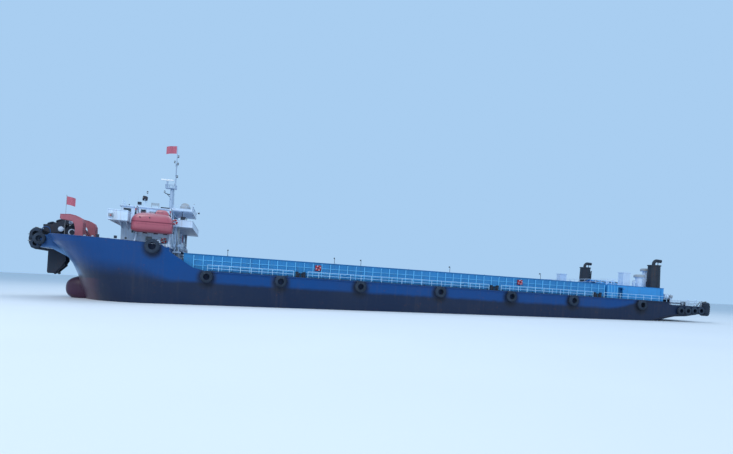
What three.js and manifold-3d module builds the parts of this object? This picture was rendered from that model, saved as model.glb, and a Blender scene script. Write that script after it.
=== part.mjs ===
// Self-propelled deck barge, a 1:10 model in millimetres: 100 mm here is one metre of the real ship.
// Lengths along the ship run aft (+X) from the stem mark, port is -Y, heights are above the flat keel.
// The finished group is moved so that its origin lies under the middle of the overall length.

import * as THREE from 'three';
import { mergeVertices } from 'three/addons/utils/BufferGeometryUtils.js';
import Module from 'manifold-3d';

const wasm = await Module();
wasm.setup();

// Driving dimensions
const MIDDLE = 4730;              // half way between the bow fender and the stern fenders
const GAP = 0.3;                  // between pieces that touch
const HALF_BEAM = 1100;
const DECK = 620;                 // main deck
const FORECASTLE = 900;           // raised deck at the bow
const BOW_JOINT = 1840;           // bow block meets the midship block
const STERN_JOINT = 7800;         // midship block meets the stern block
const BREAK = 1390;               // aft end of the raised forecastle
const TRANSOM = 9850;
const STERN_DECK = 580;           // a small step down behind the casing
const BULWARK_TOP = 1010;         // at the stem
const PLATE = 12;                 // bulwarks, as thick as plate and stays together
const WALL = 12;                  // house walls with their lining
const RUN_BOTTOM = 390;           // underside of the stern over the rudders

const FENCE = { start: 1570, end: 7990, outer: 1020, wall: 15, top: 840 };
const CASING = { start: 8050, end: 9110, half: 1010, roof: 838, wall: 15 };
const FUNNELS = { port: [9000, -890], starboard: [8930, 890] };
const HOUSE = { front: 740, back: 1385, half: 800, top: 1200 };
const BRIDGE = { front: 620, back: 1640, wingBack: 855, under: 1200, top: 1215, wingRail: 1330, aftRail: 1295 };
const WHEELHOUSE = { front: 670, back: 1330, half: 480, top: 1450, roof: 1470, galleryBack: 1610, coaming: 1482, rail: 1532 };
const MAST = { x: 1270, platform: 1825, pole: 1310, truck: 2480, radar: 1195, radarBase: 1932 };
const BOAT = { fore: 882, aft: 1400, y: 965, gunwale: 1218, hook: 1386 };
const DAVIT = { y: 940, pivot: 930, arms: [930, 1360], inner: 815, tip: 1420, reach: 985 };
const GUARD = { inner: 290, outer: 450 };
const SHAFT = { y: 480, z: 190, propeller: 9120, radius: 118 };
const RUDDER = { stock: 9330, y: 480, bottom: 55, top: 345, head: 371 };
const TYRE = { ring: 55, tube: 26, z: 546, places: [1880, 2860, 3980, 5180, 6320, 7380, 8620] };
const BOLLARDS = [3130, 6060, 7840];
const DOOR = { width: 76, height: 176, gap: 5, sill: 10 };
const DOOR_EDGES = { deckhouse: 470, casing: 420, wheelhouse: 1040 };

const paint = (color, roughness = 0.5, metalness = 0.1) =>
  new THREE.MeshStandardMaterial({ color, roughness, metalness });
const BLUE = paint(0x1d4f91);
const FENCE_BLUE = paint(0x3c9fd8);
const WHITE = paint(0xe9edf0, 0.45);
const ORANGE = paint(0xd2452c, 0.4);
const BLACK_STEEL = paint(0x1b1e22, 0.6, 0.3);
const RUBBER = paint(0x1a1a1b, 0.9, 0);
const GREY = paint(0x8d979f, 0.5, 0.3);
const BRONZE = paint(0xa8823f, 0.35, 0.9);
const BROWN = paint(0x5e4a3c, 0.9, 0);
const FLAG_RED = paint(0xc4202a, 0.9, 0);

// Solids from three.js geometry, joined and cut
function solid(geometry) {
  const bare = geometry.index ? geometry.clone() : geometry;
  bare.deleteAttribute('normal');
  bare.deleteAttribute('uv');
  const merged = mergeVertices(bare, 1e-3);
  return new wasm.Manifold(new wasm.Mesh({
    numProp: 3,
    vertProperties: new Float32Array(merged.attributes.position.array),
    triVerts: new Uint32Array(merged.index.array),
  }));
}

function geometryOf(body) {
  const mesh = body.getMesh();
  const geometry = new THREE.BufferGeometry();
  geometry.setAttribute('position', new THREE.BufferAttribute(mesh.vertProperties, 3));
  geometry.setIndex(new THREE.BufferAttribute(mesh.triVerts, 1));
  geometry.computeVertexNormals();
  return geometry;
}

const join = (...bodies) => bodies.flat().reduce((all, body) => all.add(body));
const cut = (body, ...tools) => tools.flat().reduce((left, tool) => left.subtract(tool), body);

function mirrored(geometry) {
  const copy = geometry.clone().scale(1, -1, 1);
  const index = copy.index.array;
  for (let i = 0; i < index.length; i += 3) [index[i], index[i + 1]] = [index[i + 1], index[i]];
  copy.computeVertexNormals();
  return copy;
}

function block(x0, x1, y0, y1, z0, z1) {
  const box = new THREE.BoxGeometry(x1 - x0, y1 - y0, z1 - z0);
  return solid(box.translate((x0 + x1) / 2, (y0 + y1) / 2, (z0 + z1) / 2));
}

// An outline of [across, up] points, extruded; plane says which axis it runs along and between what
function extruded(points, axis, from, to) {
  const shape = new THREE.Shape(points.map(([a, b]) => new THREE.Vector2(a, b)));
  const geometry = new THREE.ExtrudeGeometry(shape, { depth: to - from, bevelEnabled: false });
  geometry.translate(0, 0, from);
  if (axis === 'y') geometry.rotateX(Math.PI / 2).translate(0, from + to, 0);
  if (axis === 'x') geometry.rotateX(Math.PI / 2).rotateZ(Math.PI / 2);
  return solid(geometry);
}

// A round bar or cone from one place to another
function bar(from, to, radius, endRadius = radius, sides = 12) {
  const a = new THREE.Vector3(...from);
  const b = new THREE.Vector3(...to);
  const along = b.clone().sub(a);
  const geometry = new THREE.CylinderGeometry(endRadius, radius, along.length(), sides);
  geometry.applyQuaternion(new THREE.Quaternion().setFromUnitVectors(
    new THREE.Vector3(0, 1, 0), along.normalize()));
  const middle = a.add(b).multiplyScalar(0.5);
  return solid(geometry.translate(middle.x, middle.y, middle.z));
}

// A body turned about the vertical, from [radius, height] points that start and end on the axis
function turned(profile, x, y, sides = 20) {
  const geometry = new THREE.LatheGeometry(profile.map(([r, z]) => new THREE.Vector2(r, z)), sides);
  return solid(geometry.rotateX(Math.PI / 2).translate(x, y, 0));
}

function pipe(points, radius) {
  const path = new THREE.CatmullRomCurve3(points.map((p) => new THREE.Vector3(...p)));
  const ring = new THREE.Shape();
  ring.absarc(0, 0, radius, 0, Math.PI * 2);
  const options = { steps: 10, curveSegments: 5, bevelEnabled: false, extrudePath: path };
  return solid(new THREE.ExtrudeGeometry(ring, options));
}

// A closed skin over rings of points, every ring with as many points and turning the same way
function loft(rings) {
  const count = rings[0].length;
  const positions = rings.flat(2);
  const triangles = [];
  for (let r = 0; r + 1 < rings.length; r += 1) {
    for (let i = 0; i < count; i += 1) {
      const a = r * count + i;
      const b = r * count + ((i + 1) % count);
      triangles.push(a, b, b + count, a, b + count, a + count);
    }
  }
  const capFace = (ring, flip) => {
    const base = ring * count;
    for (let i = 1; i + 1 < count; i += 1) {
      if (flip) triangles.push(base, base + i + 1, base + i);
      else triangles.push(base, base + i, base + i + 1);
    }
  };
  capFace(0, true);
  capFace(rings.length - 1, false);
  const geometry = new THREE.BufferGeometry();
  geometry.setAttribute('position', new THREE.Float32BufferAttribute(positions, 3));
  geometry.setIndex(triangles);
  return solid(geometry);
}

// Hull
// Waterlines of the bow: height, stem, where the side becomes parallel, half breadth, how fine it closes in
const BOW_LINES = [
  { z: 0, stem: 330, shoulder: 1300, half: 960, fine: 1.5 },
  { z: 35, stem: 265, shoulder: 1250, half: 1045, fine: 1.45 },
  { z: 120, stem: 200, shoulder: 1180, half: HALF_BEAM, fine: 1.4 },
  { z: 300, stem: 125, shoulder: 1050, half: HALF_BEAM, fine: 1.3 },
  { z: 470, stem: 80, shoulder: 950, half: HALF_BEAM, fine: 1.2 },
  { z: DECK, stem: 15, shoulder: 860, half: HALF_BEAM, fine: 1.1 },
  { z: 700, stem: -45, shoulder: 810, half: HALF_BEAM, fine: 1.05 },
  { z: 800, stem: -125, shoulder: 750, half: HALF_BEAM, fine: 0.98 },
  { z: FORECASTLE, stem: -246, shoulder: 680, half: HALF_BEAM, fine: 0.9 },
  { z: BULWARK_TOP, stem: -320, shoulder: 620, half: HALF_BEAM, fine: 0.87 },
];

function waterline({ z, stem, shoulder, half, fine }, aft, grow) {
  const steps = 9;
  const side = [];
  for (let i = 0; i < steps; i += 1) {
    const angle = (Math.PI / 2) * (i / steps);
    const x = shoulder - (shoulder - stem + grow) * Math.sin(angle);
    side.push([x, (half + grow) * Math.cos(angle) ** fine]);
  }
  const starboard = [[aft, half + grow], ...side];
  const port = starboard.map(([x, y]) => [x, -y]).reverse();
  return [...starboard, [stem - grow, 0], ...port].map(([x, y]) => [x, y, z]);
}

const bowBody = (lowest, highest, aft, grow = 0) =>
  loft(BOW_LINES.filter(({ z }) => z >= lowest && z <= highest).map((line) => waterline(line, aft, grow)));

// An ellipsoid swollen towards its box, so that its nose is blunt and its top runs up into the stem
function bulb() {
  const fullness = 2.7;
  const ball = new THREE.SphereGeometry(1, 24, 14).rotateX(Math.PI / 2);
  const points = ball.attributes.position;
  for (let i = 0; i < points.count; i += 1) {
    const point = new THREE.Vector3().fromBufferAttribute(points, i);
    const sum = point.toArray().reduce((all, c) => all + Math.abs(c) ** fullness, 0);
    points.setXYZ(i, ...point.multiplyScalar(sum ** (-1 / fullness)).toArray());
  }
  return solid(ball.scale(385, 185, 185).translate(302, 0, 275));
}

function hullBow() {
  const raised = bowBody(DECK, FORECASTLE, BREAK);
  const notchFrom = 1290 - GAP;
  const notches = [1, -1].map((side) => {
    const inner = HALF_BEAM - PLATE - GAP;
    const [y0, y1] = side > 0 ? [inner, HALF_BEAM + 10] : [-HALF_BEAM - 10, -inner];
    return block(notchFrom, BREAK + 10, y0, y1, DECK, FORECASTLE + 10);
  });
  const landing = block(BREAK - 5, BREAK + 95, -620, 620, FORECASTLE - 15, FORECASTLE);
  return geometryOf(join(bowBody(0, DECK, BOW_JOINT), cut(raised, notches), bulb(), landing));
}

// Half section of the parallel body: flat bottom, bilge, side
const BILGE = BOW_LINES.slice(0, 3).map(({ z, half }) => [half, z]);

function sectionRing(x, bottom, deck, half) {
  const rise = (z) => bottom + z * (1 - (0.5 * bottom) / RUN_BOTTOM);
  const right = BILGE.map(([y, z]) => [y - (HALF_BEAM - half), rise(z)]);
  const starboard = [...right, [half, deck]];
  const port = starboard.map(([y, z]) => [-y, z]).reverse();
  return [...starboard, ...port].map(([y, z]) => [x, y, z]);
}

function hullMidship() {
  const ends = [BOW_JOINT + GAP, STERN_JOINT - GAP];
  return geometryOf(loft(ends.map((x) => sectionRing(x, 0, DECK, HALF_BEAM))));
}

// Sections of the stern: distance aft, underside, deck, half breadth
const STERN_SECTIONS = [
  { x: STERN_JOINT, bottom: 0, deck: DECK, half: HALF_BEAM },
  { x: 8050, bottom: 0, deck: DECK, half: HALF_BEAM },
  { x: 8400, bottom: 80, deck: DECK, half: HALF_BEAM },
  { x: 8800, bottom: 228, deck: DECK, half: HALF_BEAM },
  { x: 9150, bottom: 337, deck: DECK, half: HALF_BEAM },
  { x: 9165, bottom: 340, deck: STERN_DECK, half: HALF_BEAM },
  { x: 9400, bottom: RUN_BOTTOM, deck: STERN_DECK, half: 1095 },
  { x: 9640, bottom: 404, deck: STERN_DECK, half: 1078 },
  { x: TRANSOM, bottom: 440, deck: STERN_DECK, half: 1060 },
];

function hullStern() {
  const hull = loft(STERN_SECTIONS.map(({ x, bottom, deck, half }) => sectionRing(x, bottom, deck, half)));
  const skegs = [-SHAFT.y, SHAFT.y].map((y) => {
    const profile = [[7900, 0], [8930, 0], [9040, 140], [9040, 420], [7900, 420]];
    return extruded(profile, 'y', y - 32, y + 32);
  });
  const bossings = [-SHAFT.y, SHAFT.y].map((y) => bar([8700, y, SHAFT.z], [9080, y, SHAFT.z], 44, 30));
  return geometryOf(join(hull, skegs, bossings));
}

function forecastleBulwark() {
  const outer = bowBody(DECK, BULWARK_TOP, BOW_JOINT);
  const inner = bowBody(DECK, BULWARK_TOP, BOW_JOINT + 10, -PLATE);
  const onForecastle = FORECASTLE + GAP;
  const onDeck = DECK + GAP;
  // Top edge from the stem aft, then down the sloping wing to the main deck
  const profile = [
    [-400, onForecastle], [1290, onForecastle], [1290, onDeck], [BOW_JOINT - GAP, onDeck],
    [1683, 657], [1545, 748], [1385, 843], [1336, 889], [1277, 938], [620, 955], [200, 966], [-400, 1002],
  ];
  const wall = cut(outer, inner);
  return geometryOf(wall.intersect(extruded(profile, 'y', -HALF_BEAM - 20, HALF_BEAM + 20)));
}

// Bow gear
function bowPlatform() {
  const profile = [[-405, 812], [-405, 985], [0, 985], [0, 700], [-230, 812]];
  const body = extruded(profile, 'y', -330, 330);
  return geometryOf(cut(body, bowBody(0, BULWARK_TOP, BOW_JOINT, GAP)));
}

function bowFender() {
  const profile = [
    [-405 - GAP, 800], [-480, 790], [-535, 815], [-550, 870], [-540, 935], [-505, 1000],
    [-455, 1060], [-405 - GAP, 1090],
  ];
  return geometryOf(extruded(profile, 'y', -300, 300));
}

function anchor() {
  const shank = block(-285, -245, -20, 20, 500, 812 - GAP);
  const crown = block(-315, -215, -95, 95, 462, 512);
  const blade = [[-315, 470], [-215, 470], [-105, 580], [-150, 715], [-232, 790], [-316, 800], [-312, 620]];
  const fluke = (y) => extruded(blade, 'y', y - 13, y + 13);
  const shackle = bar([-265, -24, 785], [-265, 24, 785], 22);
  return geometryOf(join(shank, crown, fluke(-82), fluke(82), shackle));
}

// The outline of a guard from its free end over the top and down to the deck, then back inside
const GUARD_OUTLINE = [
  [-102, 1211], [-102, 1273], [21, 1282], [95, 1268], [159, 1234], [184, 1182], [192, FORECASTLE + GAP],
  [91, FORECASTLE + GAP], [88, 1100], [75, 1155], [40, 1195],
];
const winchGuard = () => geometryOf(extruded(GUARD_OUTLINE, 'y', -GUARD.outer, -GUARD.inner));

function fairleadFrame() {
  const cheek = [[-200, 0], [-60, 0], [-85, 250], [-120, 300], [-160, 300], [-190, 240]];
  const rise = FORECASTLE + GAP;
  const points = cheek.map(([x, z]) => [x, z + rise]);
  const cheeks = [[-150, -132], [132, 150]].map(([y0, y1]) => extruded(points, 'y', y0, y1));
  return geometryOf(join(cheeks, block(-195, -65, -150, 150, rise, rise + 14)));
}

function fairleadRoller() {
  return geometryOf(join(
    bar([0, -127, 0], [0, 127, 0], 26),
    bar([0, -118, 0], [0, 118, 0], 52, 52, 24),
    bar([0, -118, 0], [0, -104, 0], 74, 74, 24),
    bar([0, 104, 0], [0, 118, 0], 74, 74, 24)));
}

function windlassFrame() {
  const rise = FORECASTLE + GAP;
  const cheek = [[-45, 0], [75, 0], [55, 175], [-25, 175]].map(([x, z]) => [x, z + rise]);
  const cheeks = [[-282, -262], [262, 282]].map(([y0, y1]) => extruded(cheek, 'y', y0, y1));
  return geometryOf(join(cheeks, block(-45, 75, -282, 282, rise, rise + 12)));
}

function windlassDrum() {
  const flange = (y) => bar([0, y - 6, 0], [0, y + 6, 0], 104, 104, 24);
  return geometryOf(join(
    bar([0, -257, 0], [0, 257, 0], 24),
    bar([0, -240, 0], [0, 240, 0], 62, 62, 24),
    [-240, 0, 240].map(flange)));
}

// Cargo space
const fenceSide = () => geometryOf(
  block(FENCE.start, FENCE.end, -FENCE.outer, -FENCE.outer + FENCE.wall, DECK + GAP, FENCE.top));

const fenceEnd = (x) => {
  const inner = FENCE.outer - FENCE.wall - GAP;
  return geometryOf(block(x, x + FENCE.wall, -inner, inner, DECK + GAP, FENCE.top));
};

// The sheathed deck that the cargo stands on, between the fences
function cargoDeck() {
  const half = FENCE.outer - FENCE.wall - 5;
  const low = DECK + GAP;
  return geometryOf(block(FENCE.start + 110, FENCE.end - FENCE.wall - 5, -half, half, low, low + 5.7));
}

// Engine casing with its side passages and aft doorways
function engineCasing() {
  const floor = DECK + GAP;
  const { start, end, half, roof, wall } = CASING;
  const shell = block(start, end, -half, half, floor, roof);
  const room = block(start + wall, end - wall, -half + wall, half - wall, floor - 5, roof - wall);
  const passages = [-1, 1].map((side) => {
    const [y0, y1] = side < 0 ? [-half - 5, -half + 40] : [half - 40, half + 5];
    return block(8240, 8335, y0, y1, floor + 14, roof - 30);
  });
  const doorways = [-1, 1].map((side) => doorway('x', end - wall, DOOR_EDGES.casing * side, -side, floor, wall));
  return geometryOf(cut(shell, room, passages, doorways));
}

// A doorway through a wall whose outer face stands aft (axis x) or outboard (axis y). The edge is the hinge
// side of the leaf, which runs from it in the given direction; the hole is a gap wider all round.
function doorway(axis, from, edge, direction, floor, wall) {
  const low = Math.min(edge - direction * DOOR.gap, edge + direction * (DOOR.width + DOOR.gap));
  const high = Math.max(edge - direction * DOOR.gap, edge + direction * (DOOR.width + DOOR.gap));
  const sill = floor + DOOR.sill;
  const head = sill + DOOR.height + 2 * DOOR.gap;
  if (axis === 'x') return block(from - 2, from + wall + 2, low, high, sill, head);
  return block(low, high, from - 2, from + wall + 2, sill, head);
}

// Leaf about its hinge axis: it runs along +X from the hinge, its outer face towards -Y
function doorLeaf(thickness) {
  const leaf = block(0, DOOR.width, 0, thickness, 0, DOOR.height);
  const knuckles = [30, DOOR.height - 30].map((z) => bar([0, 0, z - 14], [0, 0, z + 14], 4.5, 4.5, 12));
  return geometryOf(join(leaf, knuckles));
}

function funnel() {
  const profile = [
    [0, 0], [111, 0], [111, 8], [105, 12], [95, 362], [107, 364], [107, 378], [91, 378], [89, 372], [0, 372],
  ];
  const body = turned(profile, 0, 0, 24);
  const exhaust = pipe([[-14, 0, 360], [-14, 0, 400], [10, 0, 436], [55, 0, 452], [125, 0, 450]], 27);
  const spare = pipe([[50, 30, 360], [50, 30, 380], [50, 30, 400]], 11);
  return geometryOf(join(body, exhaust, spare));
}

function ventHouse() {
  const floor = CASING.roof + GAP;
  const body = block(8364, 8496, -970, -840, floor, 1040);
  return geometryOf(join(body, block(8358, 8502, -976, -834, 1040, 1054)));
}

// Two mushroom vents on one sill that passes inboard of the funnel
function roofVents(foreTop, aftTop) {
  const floor = CASING.roof + GAP;
  const mushroom = (x, y, stem, cap, top) => turned([
    [0, floor], [stem, floor], [stem, top - 50], [cap, top - 50], [cap, top - 18], [cap * 0.6, top], [0, top],
  ], x, y);
  const sill = [block(8672, 8790, -938, -618, floor, floor + 8), block(8780, 9062, -702, -618, floor, floor + 8)];
  return geometryOf(join(sill, mushroom(8730, -880, 56, 84, foreTop), mushroom(9020, -660, 42, 77, aftTop)));
}

// Accommodation
function deckhouse() {
  const { front, back, half, top } = HOUSE;
  const floor = FORECASTLE + GAP;
  const shell = block(front, back, -half, half, floor, top);
  const room = block(front + WALL, back - WALL, -half + WALL, half - WALL, floor - 5, top - WALL);
  const doorways = [-1, 1].map((side) => doorway('x', back - WALL, DOOR_EDGES.deckhouse * side, -side, floor, WALL));
  const windows = [-1, 1].flatMap((side) => [870, 1010, 1150, 1270].map((x) => {
    const [y0, y1] = side < 0 ? [-half - 5, -half + 30] : [half - 30, half + 5];
    return block(x, x + 50, y0, y1, 1080, 1130);
  }));
  const frontWindows = [-600, -350, -100, 150, 400, 600].map((y) => block(front - 5, front + 30, y, y + 60, 1070, 1130));
  return geometryOf(cut(shell, room, doorways, windows, frontWindows));
}

function bridgeDeck() {
  const { front, back, wingBack, under, top, wingRail, aftRail } = BRIDGE;
  const low = under + GAP;
  const slab = join(
    block(front, wingBack, -HALF_BEAM, HALF_BEAM, low, top),
    block(front, back, -HOUSE.half, HOUSE.half, low, top));
  const rails = [-1, 1].flatMap((side) => {
    const place = (x0, x1, a, b, z1) => block(x0, x1, Math.min(a * side, b * side), Math.max(a * side, b * side), low, z1);
    return [
      place(front, wingBack, HALF_BEAM - 8, HALF_BEAM, wingRail),
      place(front, front + 8, WHEELHOUSE.half + 60, HALF_BEAM, wingRail),
      place(wingBack - 8, wingBack, HOUSE.half + 40, HALF_BEAM, wingRail),
      place(HOUSE.back, back, HOUSE.half - 8, HOUSE.half, aftRail),
    ];
  });
  const knees = [-1, 1].flatMap((side) => [front + 125, wingBack - 30].map((x) => {
    const points = [[HOUSE.half + GAP, 1110], [HALF_BEAM - 20, low + 1], [HOUSE.half + GAP, low + 1]];
    return extruded(points.map(([y, z]) => [y * side, z]), 'x', x, x + 10);
  }));
  const aft = block(back - 8, back, -HOUSE.half, HOUSE.half, low, aftRail);
  return geometryOf(join(slab, rails, knees, aft));
}

// Windows of the wheelhouse: start, end and whether they are in the side or the front
const SIDE_WINDOWS = [[700, 790], [850, 890], [925, 985], [1180, 1240]];
const FRONT_WINDOWS = [[-440, -330], [-300, -190], [-160, -50], [50, 160], [190, 300], [330, 440]];

function wheelhouse() {
  const { front, back, half, top } = WHEELHOUSE;
  const floor = BRIDGE.top + GAP;
  const shell = block(front, back, -half, half, floor, top);
  const room = block(front + WALL, back - WALL, -half + WALL, half - WALL, floor - 5, top - WALL);
  const sides = [-1, 1].flatMap((side) => {
    const [y0, y1] = side < 0 ? [-half - 5, -half + 30] : [half - 30, half + 5];
    const panes = SIDE_WINDOWS.map(([x0, x1]) => block(x0, x1, y0, y1, 1352, 1428));
    return [...panes, doorway('y', side < 0 ? -half : half - WALL, DOOR_EDGES.wheelhouse, 1, floor, WALL)];
  });
  const fronts = FRONT_WINDOWS.map(([y0, y1]) => block(front - 5, front + 30, y0, y1, 1345, 1428));
  const backs = FRONT_WINDOWS.slice(1, 5).map(([y0, y1]) => block(back - 30, back + 5, y0, y1, 1360, 1420));
  return geometryOf(cut(shell, room, sides, fronts, backs));
}

function wheelhouseRoof() {
  const { front, back, half, top, roof, galleryBack, coaming, rail } = WHEELHOUSE;
  const low = top + GAP;
  const slab = block(front - 25, galleryBack, -half - 10, half + 10, low, roof);
  const sides = [-1, 1].map((side) => {
    const [y0, y1] = side < 0 ? [-half - 10, -half - 2] : [half + 2, half + 10];
    return block(back, galleryBack, y0, y1, low, coaming);
  });
  return geometryOf(join(slab, sides, block(galleryBack - 8, galleryBack, -half - 10, half + 10, low, rail)));
}

function signalMast() {
  const { x, platform, pole, truck, radar, radarBase } = MAST;
  const foot = WHEELHOUSE.roof + GAP;
  const trunk = bar([x, 0, foot], [x, 0, platform + 5], 34, 25, 8);
  const top = block(radar - 22, pole + 22, -60, 60, platform, platform + 14);
  const pedestal = bar([radar, 0, platform + 5], [radar, 0, radarBase], 14, 10, 12);
  const topmast = bar([pole, 0, platform + 5], [pole, 0, truck], 9, 4, 10);
  const yard = bar([pole, -130, 2185], [pole, 130, 2185], 5, 5, 8);
  return geometryOf(join(trunk, top, pedestal, topmast, yard));
}

const radarScanner = () => geometryOf(join(
  block(-92, 92, -11, 11, 12, 30), bar([0, 0, 0.5], [0, 0, 14], 13, 13, 16)));

const ensign = () => geometryOf(block(MAST.pole - 8 - 157, MAST.pole - 8, -1.5, 1.5, 2354, 2470));

// Stations of the lifeboat: distance aft, half breadth, keel, canopy top
const BOAT_STATIONS = [
  { x: BOAT.fore, half: 30, keel: 1130, top: 1232 },
  { x: 897, half: 62, keel: 1104, top: 1266 },
  { x: 927, half: 86, keel: 1092, top: 1303 },
  { x: 987, half: 104, keel: 1085, top: 1332 },
  { x: 1140, half: 110, keel: 1082, top: 1336 },
  { x: 1300, half: 106, keel: 1080, top: 1338 },
  { x: 1360, half: 98, keel: 1082, top: 1322 },
  { x: BOAT.aft, half: 86, keel: 1090, top: 1244 },
];

function boatRing({ x, half, keel, top }) {
  const sides = 16;
  const flatten = (value, power) => Math.sign(value) * Math.abs(value) ** power;
  return Array.from({ length: sides }, (_, i) => {
    const angle = (2 * Math.PI * (i + 0.5)) / sides;
    const reach = Math.sin(angle) > 0 ? top - BOAT.gunwale : BOAT.gunwale - keel;
    return [x, half * flatten(Math.cos(angle), 0.7) - BOAT.y, BOAT.gunwale + reach * flatten(Math.sin(angle), 0.8)];
  });
}

function lifeboat() {
  const hull = loft(BOAT_STATIONS.map(boatRing));
  const tower = loft([[1174, 1350, 62, 1310], [1190, 1330, 58, 1362], [1212, 1302, 46, 1388]].map(
    ([x0, x1, half, z]) => [[x0, -half - BOAT.y, z], [x1, -half - BOAT.y, z], [x1, half - BOAT.y, z],
      [x0, half - BOAT.y, z]]));
  const falls = DAVIT.arms.map((x) => bar([x, -BOAT.y, 1200], [x, -BOAT.y, BOAT.hook + 2], 5, 5, 10));
  return geometryOf(join(hull, tower, falls).translate([0, BOAT.y, -BOAT.hook]));
}

function davit() {
  const { y, pivot, arms, inner, tip, reach } = DAVIT;
  // Up from the pivot, inboard round the boat, and out over its hooks
  const outer = inner + 30;
  const arm = [
    [-y + 13, pivot - 16], [-y - 13, pivot - 16], [-y - 14, pivot + 7], [-outer, 1051], [-outer, 1376],
    [-outer - 19, 1393], [-reach, 1393], [-reach, tip], [-outer - 9, tip], [-inner, 1388], [-inner, 1039],
  ];
  const both = arms.map((x) => extruded(arm, 'x', x - 10, x + 10));
  return geometryOf(join(both, bar([arms[0] - 30, -y, pivot], [arms[1] + 30, -y, pivot], 13)).translate(
    [0, y, -pivot]));
}

function davitFoot() {
  const low = FORECASTLE + GAP;
  const { y, pivot, arms } = DAVIT;
  const cheek = [[-y - 28, low], [-y + 26, low], [-y + 20, pivot + 20], [-y - 20, pivot + 20]];
  const posts = arms.flatMap((x) => [x - 27, x + 15].map((x0) => extruded(cheek, 'x', x0, x0 + 12)));
  const sole = block(arms[0] - 30, arms[1] + 28, -y - 28, -y + 26, low, low + 5);
  const bore = bar([arms[0] - 60, -y, pivot], [arms[1] + 60, -y, pivot], 13.6);
  return geometryOf(cut(join(posts, sole), bore));
}

// Side gear
function tyreAt(x, z, ring, tube) {
  const torus = new THREE.TorusGeometry(ring, tube, 8, 16).rotateX(Math.PI / 2);
  return solid(torus.translate(x, -HALF_BEAM - GAP - tube, z));
}

function sideRail() {
  const rail = block(BOW_JOINT + 20, 9150, -HALF_BEAM - 22, -HALF_BEAM - GAP, DECK - 36, DECK - 14);
  return geometryOf(join(rail, TYRE.places.map((x) => tyreAt(x, TYRE.z, TYRE.ring, TYRE.tube))));
}

function bollardStrip() {
  const low = DECK + GAP;
  const strip = block(BOW_JOINT + 20, 9120, -HALF_BEAM + 4, -FENCE.outer - 12, low, low + 5);
  const pairs = BOLLARDS.flatMap((x) => [-22, 22].flatMap((dx) => [
    bar([x + dx, -1064, low], [x + dx, -1064, low + 56], 12, 12, 12),
    bar([x + dx, -1064, low + 50], [x + dx, -1064, low + 58], 16, 16, 12),
  ]));
  return geometryOf(join(strip, pairs));
}

// Under the stern
function propeller() {
  const pitch = 1.0;
  const hub = bar([-34, 0, 0], [34, 0, 0], 30, 22, 20);
  const blade = () => {
    const shape = new THREE.Shape();
    shape.moveTo(-16, 15);
    shape.quadraticCurveTo(-62, 80, -22, SHAFT.radius);
    shape.quadraticCurveTo(10, SHAFT.radius + 4, 34, SHAFT.radius - 26);
    shape.quadraticCurveTo(52, 60, 16, 15);
    const options = { depth: 7, bevelEnabled: false, curveSegments: 4 };
    return new THREE.ExtrudeGeometry(shape, options).translate(0, 0, -3.5).rotateY(pitch);
  };
  const blades = [0, 1, 2, 3].map((i) => solid(blade().rotateX((i * Math.PI) / 2)));
  return geometryOf(join(hub, blades));
}

function rudder() {
  const chord = [[-62, 0], [-50, 10], [-10, 17], [60, 12], [165, 2], [165, -2], [60, -12], [-10, -17], [-50, -10]];
  const plate = extruded(chord, 'z', RUDDER.bottom, RUDDER.top);
  const stock = bar([0, 0, RUDDER.top - 20], [0, 0, RUDDER.head], 15);
  return geometryOf(join(plate, stock));
}

// Stern deck
const sternFender = () => geometryOf(
  bar([TRANSOM + 80.5, -1018, 430], [TRANSOM + 80.5, -1018, 655], 79.5, 79.5, 24));

function sternWinchFrame() {
  const low = STERN_DECK + GAP;
  const cheek = [[9300, low], [9440, low], [9400, low + 95], [9340, low + 95]];
  const cheeks = [[-262, -246], [246, 262]].map(([y0, y1]) => extruded(cheek, 'y', y0, y1));
  return geometryOf(join(cheeks, block(9300, 9440, -262, 262, low, low + 10)));
}

function sternWinchDrum() {
  const flange = (y) => bar([0, y - 5, 0], [0, y + 5, 0], 58, 58, 24);
  return geometryOf(join(
    bar([0, -241, 0], [0, 241, 0], 16), bar([0, -225, 0], [0, 225, 0], 34, 34, 20), [-222, 222].map(flange)));
}

// The ship
const barge = new THREE.Group();
barge.position.x = -MIDDLE;

function add(name, geometry, material, place = [0, 0, 0], turn = 0) {
  const mesh = new THREE.Mesh(geometry, material);
  mesh.name = name;
  mesh.position.set(...place);
  mesh.rotation.z = turn;
  barge.add(mesh);
}

// A piece on the port side and its mirror image to starboard, its place given for the port one
function addPair(name, geometry, material, place = [0, 0, 0], turn = 0) {
  add(`${name}_port`, geometry, material, place, turn);
  add(`${name}_starboard`, mirrored(geometry), material, [place[0], -place[1], place[2]], -turn);
}

const leafFoot = (floor) => floor + GAP + DOOR.sill + DOOR.gap;

add('hull_bow', hullBow(), BLUE);
add('hull_midship', hullMidship(), BLUE);
add('hull_stern', hullStern(), BLUE);
add('forecastle_bulwark', forecastleBulwark(), BLUE);
add('bow_platform', bowPlatform(), BLUE);
add('bow_fender', bowFender(), RUBBER);
add('anchor', anchor(), BLACK_STEEL);
addPair('winch_guard', winchGuard(), ORANGE);
add('fairlead_frame', fairleadFrame(), BLACK_STEEL);
add('fairlead_roller', fairleadRoller(), BLACK_STEEL, [-130, 0, 1105]);
add('windlass_frame', windlassFrame(), BLACK_STEEL);
add('windlass_drum', windlassDrum(), GREY, [15, 0, 1045]);
add('cargo_deck', cargoDeck(), BROWN);
addPair('cargo_fence', fenceSide(), FENCE_BLUE);
add('cargo_fence_front', fenceEnd(FENCE.start), FENCE_BLUE);
add('cargo_fence_aft', fenceEnd(FENCE.end - FENCE.wall), FENCE_BLUE);
add('engine_casing', engineCasing(), FENCE_BLUE);
for (const [side, place] of Object.entries(FUNNELS)) {
  add(`funnel_${side}`, funnel(), BLACK_STEEL, [...place, CASING.roof + GAP]);
}
addPair('vent_house', ventHouse(), WHITE);
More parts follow.
